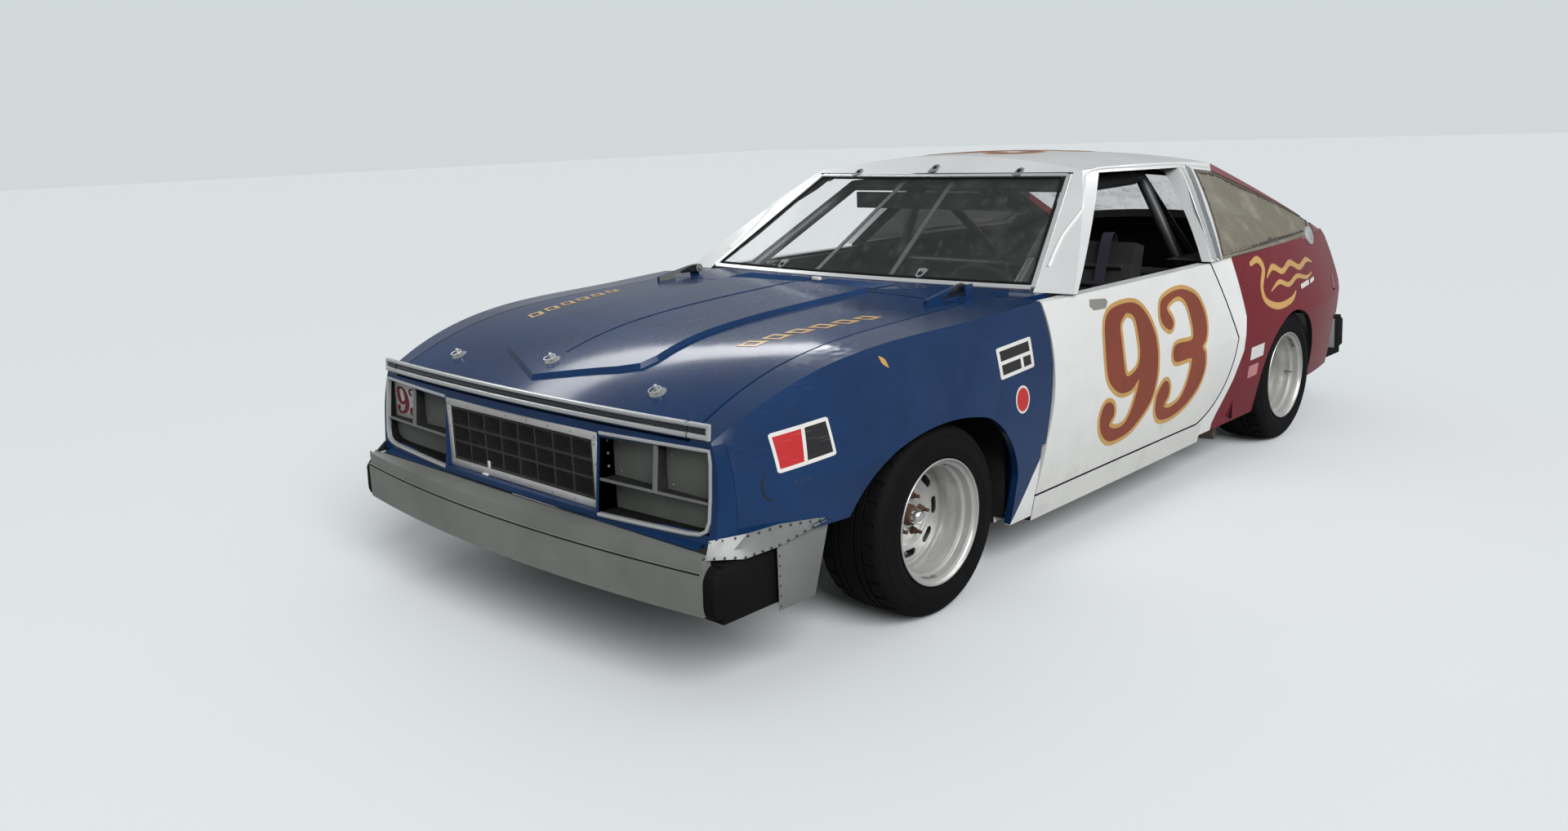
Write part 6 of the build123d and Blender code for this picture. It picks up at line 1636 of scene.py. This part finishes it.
@dataclass
class Studio:
    """The camera at the photograph's angle, a pale floor and soft light."""

    eye: Point3 = (3.830, 2.797, 1.368)
    yaw: float = 224.14
    pitch: float = -11.66
    roll: float = -2.13
    focal: float = 1460.5
    width: int = 1920
    height: int = 1018
    centre_row: float = 461.5
    sensor: float = 36.0
    floor_half: float = 60.0
    gloss_share: float = 0.35
    surround: Colour = (0.84, 0.87, 0.90)
    surround_level: float = 0.46
    wall: Colour = (0.64, 0.69, 0.70)
    sun_aim: Point3 = (-0.40, -1.0, -0.80)
    sun_power: float = 2.7
    rows: Tuple[Tuple[str, Point3, float, Point2], ...] = (
        ("strip_near", (1.6, 3.6, 3.4), 90.0, (8.0, 0.45)),
                                                           ("strip_far", (0.6, -3.8, 3.6), 95.0, (8.0, 0.45)),
        ("strip_top", (-0.6, 1.25, 3.9), 70.0, (7.0, 0.35)))

    def build(self) -> None:
        """Make the camera, floor, backdrop light and lamps."""
        self.camera()
        self.floor()
        self.world()
        self.lamps()
        LOG.info("studio ready")

    def camera(self) -> None:
        """Place the camera and set its lens and shift."""
        data = bpy.data.cameras.new("camera")
        data.sensor_width = self.sensor
        data.lens = self.focal * self.sensor / self.width
        data.shift_y = (self.centre_row - self.height / 2) / self.width
        data.clip_start, data.clip_end = 0.05, 200.0
        yaw, pitch, roll = (math.radians(a) for a in (self.yaw, self.pitch, self.roll))
        ahead = Vector((math.cos(pitch) * math.cos(yaw), math.cos(pitch) * math.sin(yaw), math.sin(pitch)))
        right = ahead.cross(Vector((0, 0, 1))).normalized()
        up = right.cross(ahead)
        side, top = math.cos(roll) * right + math.sin(roll) * up, math.cos(roll) * up - math.sin(roll) * right
        camera = place_object("camera", data)
        camera.matrix_world = at(*self.eye) @ Matrix((side, top, -ahead)).transposed().to_4x4()
        bpy.context.scene.camera = camera

    def floor(self) -> None:
        """Lay a large pale floor that only views, reflections and panes see as bright."""
        shape = bmesh.new()
        bmesh.ops.create_grid(shape, x_segments=2, y_segments=2, size=self.floor_half)
        data = bpy.data.meshes.new("studio_floor")
        shape.to_mesh(data)
        shape.free()
        g = Graph("studio_floor")
        seen, through, shine = (g.node("ShaderNodeLightPath", {}, {}, f"Is {kind} Ray")
                                for kind in ("Camera", "Transmission", "Glossy"))
        g.out(Base_Color=(0.84, 0.87, 0.88), Roughness=g.noise(30.0) * 0.1 + 0.55)
        shade = g.node("ShaderNodeBsdfDiffuse", {}, {"Color": (0.20, 0.20, 0.20)})
        mix = g.node("ShaderNodeMixShader", {}, {0: seen + through + shine * self.gloss_share, 1: shade,
                                                 2: Socket(g, g.shader.outputs[0])})
        g.set(g.end.inputs["Surface"], mix)
        data.materials.append(g.material)
        place_object("studio_floor", data)

    def world(self) -> None:
        """Set an even surround, with its own level for what the camera sees of it."""
        world = bpy.data.worlds.new("surround")
        bpy.context.scene.world = world
        world.use_nodes = True
        tree = world.node_tree
        back, bright = tree.nodes["Background"], tree.nodes.new("ShaderNodeBackground")
        for node, colour, level in ((back, self.surround, self.surround_level), (bright, self.wall, 1.0)):
            node.inputs["Color"].default_value = (*colour, 1)
            node.inputs["Strength"].default_value = level
        path, mix = tree.nodes.new("ShaderNodeLightPath"), tree.nodes.new("ShaderNodeMixShader")
        for source, target in ((path.outputs["Is Camera Ray"], mix.inputs[0]),
                               (back.outputs[0], mix.inputs[1]), (bright.outputs[0], mix.inputs[2]),
                               (mix.outputs[0], tree.nodes["World Output"].inputs["Surface"])):
            tree.links.new(source, target)

    def lamps(self) -> None:
        """Set one soft sky light and strips that only shine on glossy faces."""
        sun = bpy.data.lights.new("sky", "SUN")
        sun.energy, sun.angle = self.sun_power, math.radians(40)
        place_object("sky", sun).rotation_euler = Vector(self.sun_aim).to_track_quat("-Z", "Y").to_euler()
        for name, place, power, size in self.rows:
            data = bpy.data.lights.new(name, "AREA")
            data.energy, data.shape = power, "RECTANGLE"
            data.size, data.size_y = size
            lamp = place_object(name, data)
            lamp.matrix_world = frame_at(Vector(place), Vector(place) - Vector((0.4, 0, 0.4)))
            lamp.visible_diffuse = lamp.visible_camera = False


@dataclass
class Panel:
    """A copy of a body panel whose faces toward the inside have a second finish."""

    node: str
    body: str
    outer: Finish
    slot: str
    weights: Point3
    centre: Point3 = (0.0, 0.0, 0.70)
    limit: float = -0.25
    inner: Finish = FLOOR_BLACK

    def build(self, nodes: Dict[str, bpy.types.Object]) -> None:
        """Copy the node's mesh, give its inner faces the inner finish and let it stand in for the node."""
        mesh = nodes[self.node].data.copy()
        mesh.name = f"skin_{self.node}"
        mesh.materials.clear()
        for finish in (self.outer, self.inner):
            mesh.materials.append(finish.build())
        for face in mesh.polygons:
            away = Vector([(c - m) * w for c, m, w in zip(face.center, self.centre, self.weights)])
            face.material_index = 1 if away.normalized().dot(face.normal) < self.limit else 0
        made = place_object(f"skin_{self.node}", mesh)
        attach(made, self.body)
        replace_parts(made, self.node)
        LOG.info("panel %s: %d faces", self.node, len(mesh.polygons))


PANELS = [panel for _, side in SIDES for panel in (
    Panel(f"door_{side}", f"door_{side}", WHITE_PAINT, "white_paint", (0.0, 1.0, 0.05)),
    Panel(f"quarter_{side}", "body", QUARTER_PAINT, "red_paint", (0.0, 1.0, 0.3), limit=0.2),
    Panel(f"fender_{side}", "body", FENDER_PAINT, "blue_paint", (0.0, 1.0, 0.6)))] + [
    Panel("roof_frame", "body", ROOF_PAINT, "white_paint", (0.35, 1.0, 1.0)),
    Panel("hatch_frame", "hatch", RED_PAINT, "white_paint", (0.5, 0.5, 1.0)),
    Panel("hood", "hood", BLUE_PAINT, "blue_paint", (0.3, 0.3, 1.0), (1.3, 0.0, 0.3), inner=PRIMER_GREY),
    Panel("grille", "body", GRILLE_DARK, "grille", (1.0, 0.0, 0.0), (-90.0, 0.0, 0.0), 0.5),
    Panel("tail_panel", "body", RED_PAINT, "red_paint", (1.0, 0.4, 0.4), (-1.6, 0.0, 0.6)),
    Panel("floor_pan", "body", WHITE_PAINT, "floor", (0.0, 1.0, 0.0), (0.0, 0.0, 0.19), 0.35)]


def finish_nodes(nodes: Dict[str, bpy.types.Object]) -> None:
    """Give each CAD node that shows its finish."""
    for finish, names in NODE_FINISH:
        for name in names.split():
            nodes[name].data.materials.clear()
            nodes[name].data.materials.append(finish.build())


def main() -> None:
    """Dress the frame and finish."""
    logging.basicConfig(level=logging.INFO, format="%(name)s: %(message)s")
    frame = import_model()
    bpy.context.scene.view_settings.view_transform = "Standard"
    nodes = frame["nodes"]
    Studio().build()
    finish_nodes(nodes)
    for panel in PANELS:
        panel.build(nodes)
    bench = Bench(nodes)
    for assembly in (Markings, NoseTrim, BumperTrim, Glasshouse, Bonnet, Tail, Cabin):
        assembly(bench).build()
    for k, name in enumerate(WHEELS):
        side = 1 if name.endswith("left") else -1
        axle = (FRONT_AXLE if "front" in name else REAR_AXLE, side * LIP_Y, AXLE_Z)
        Wheel(name, axle, side, 0.4 + 1.3 * k).build()


if __name__ == "__main__":
    main()
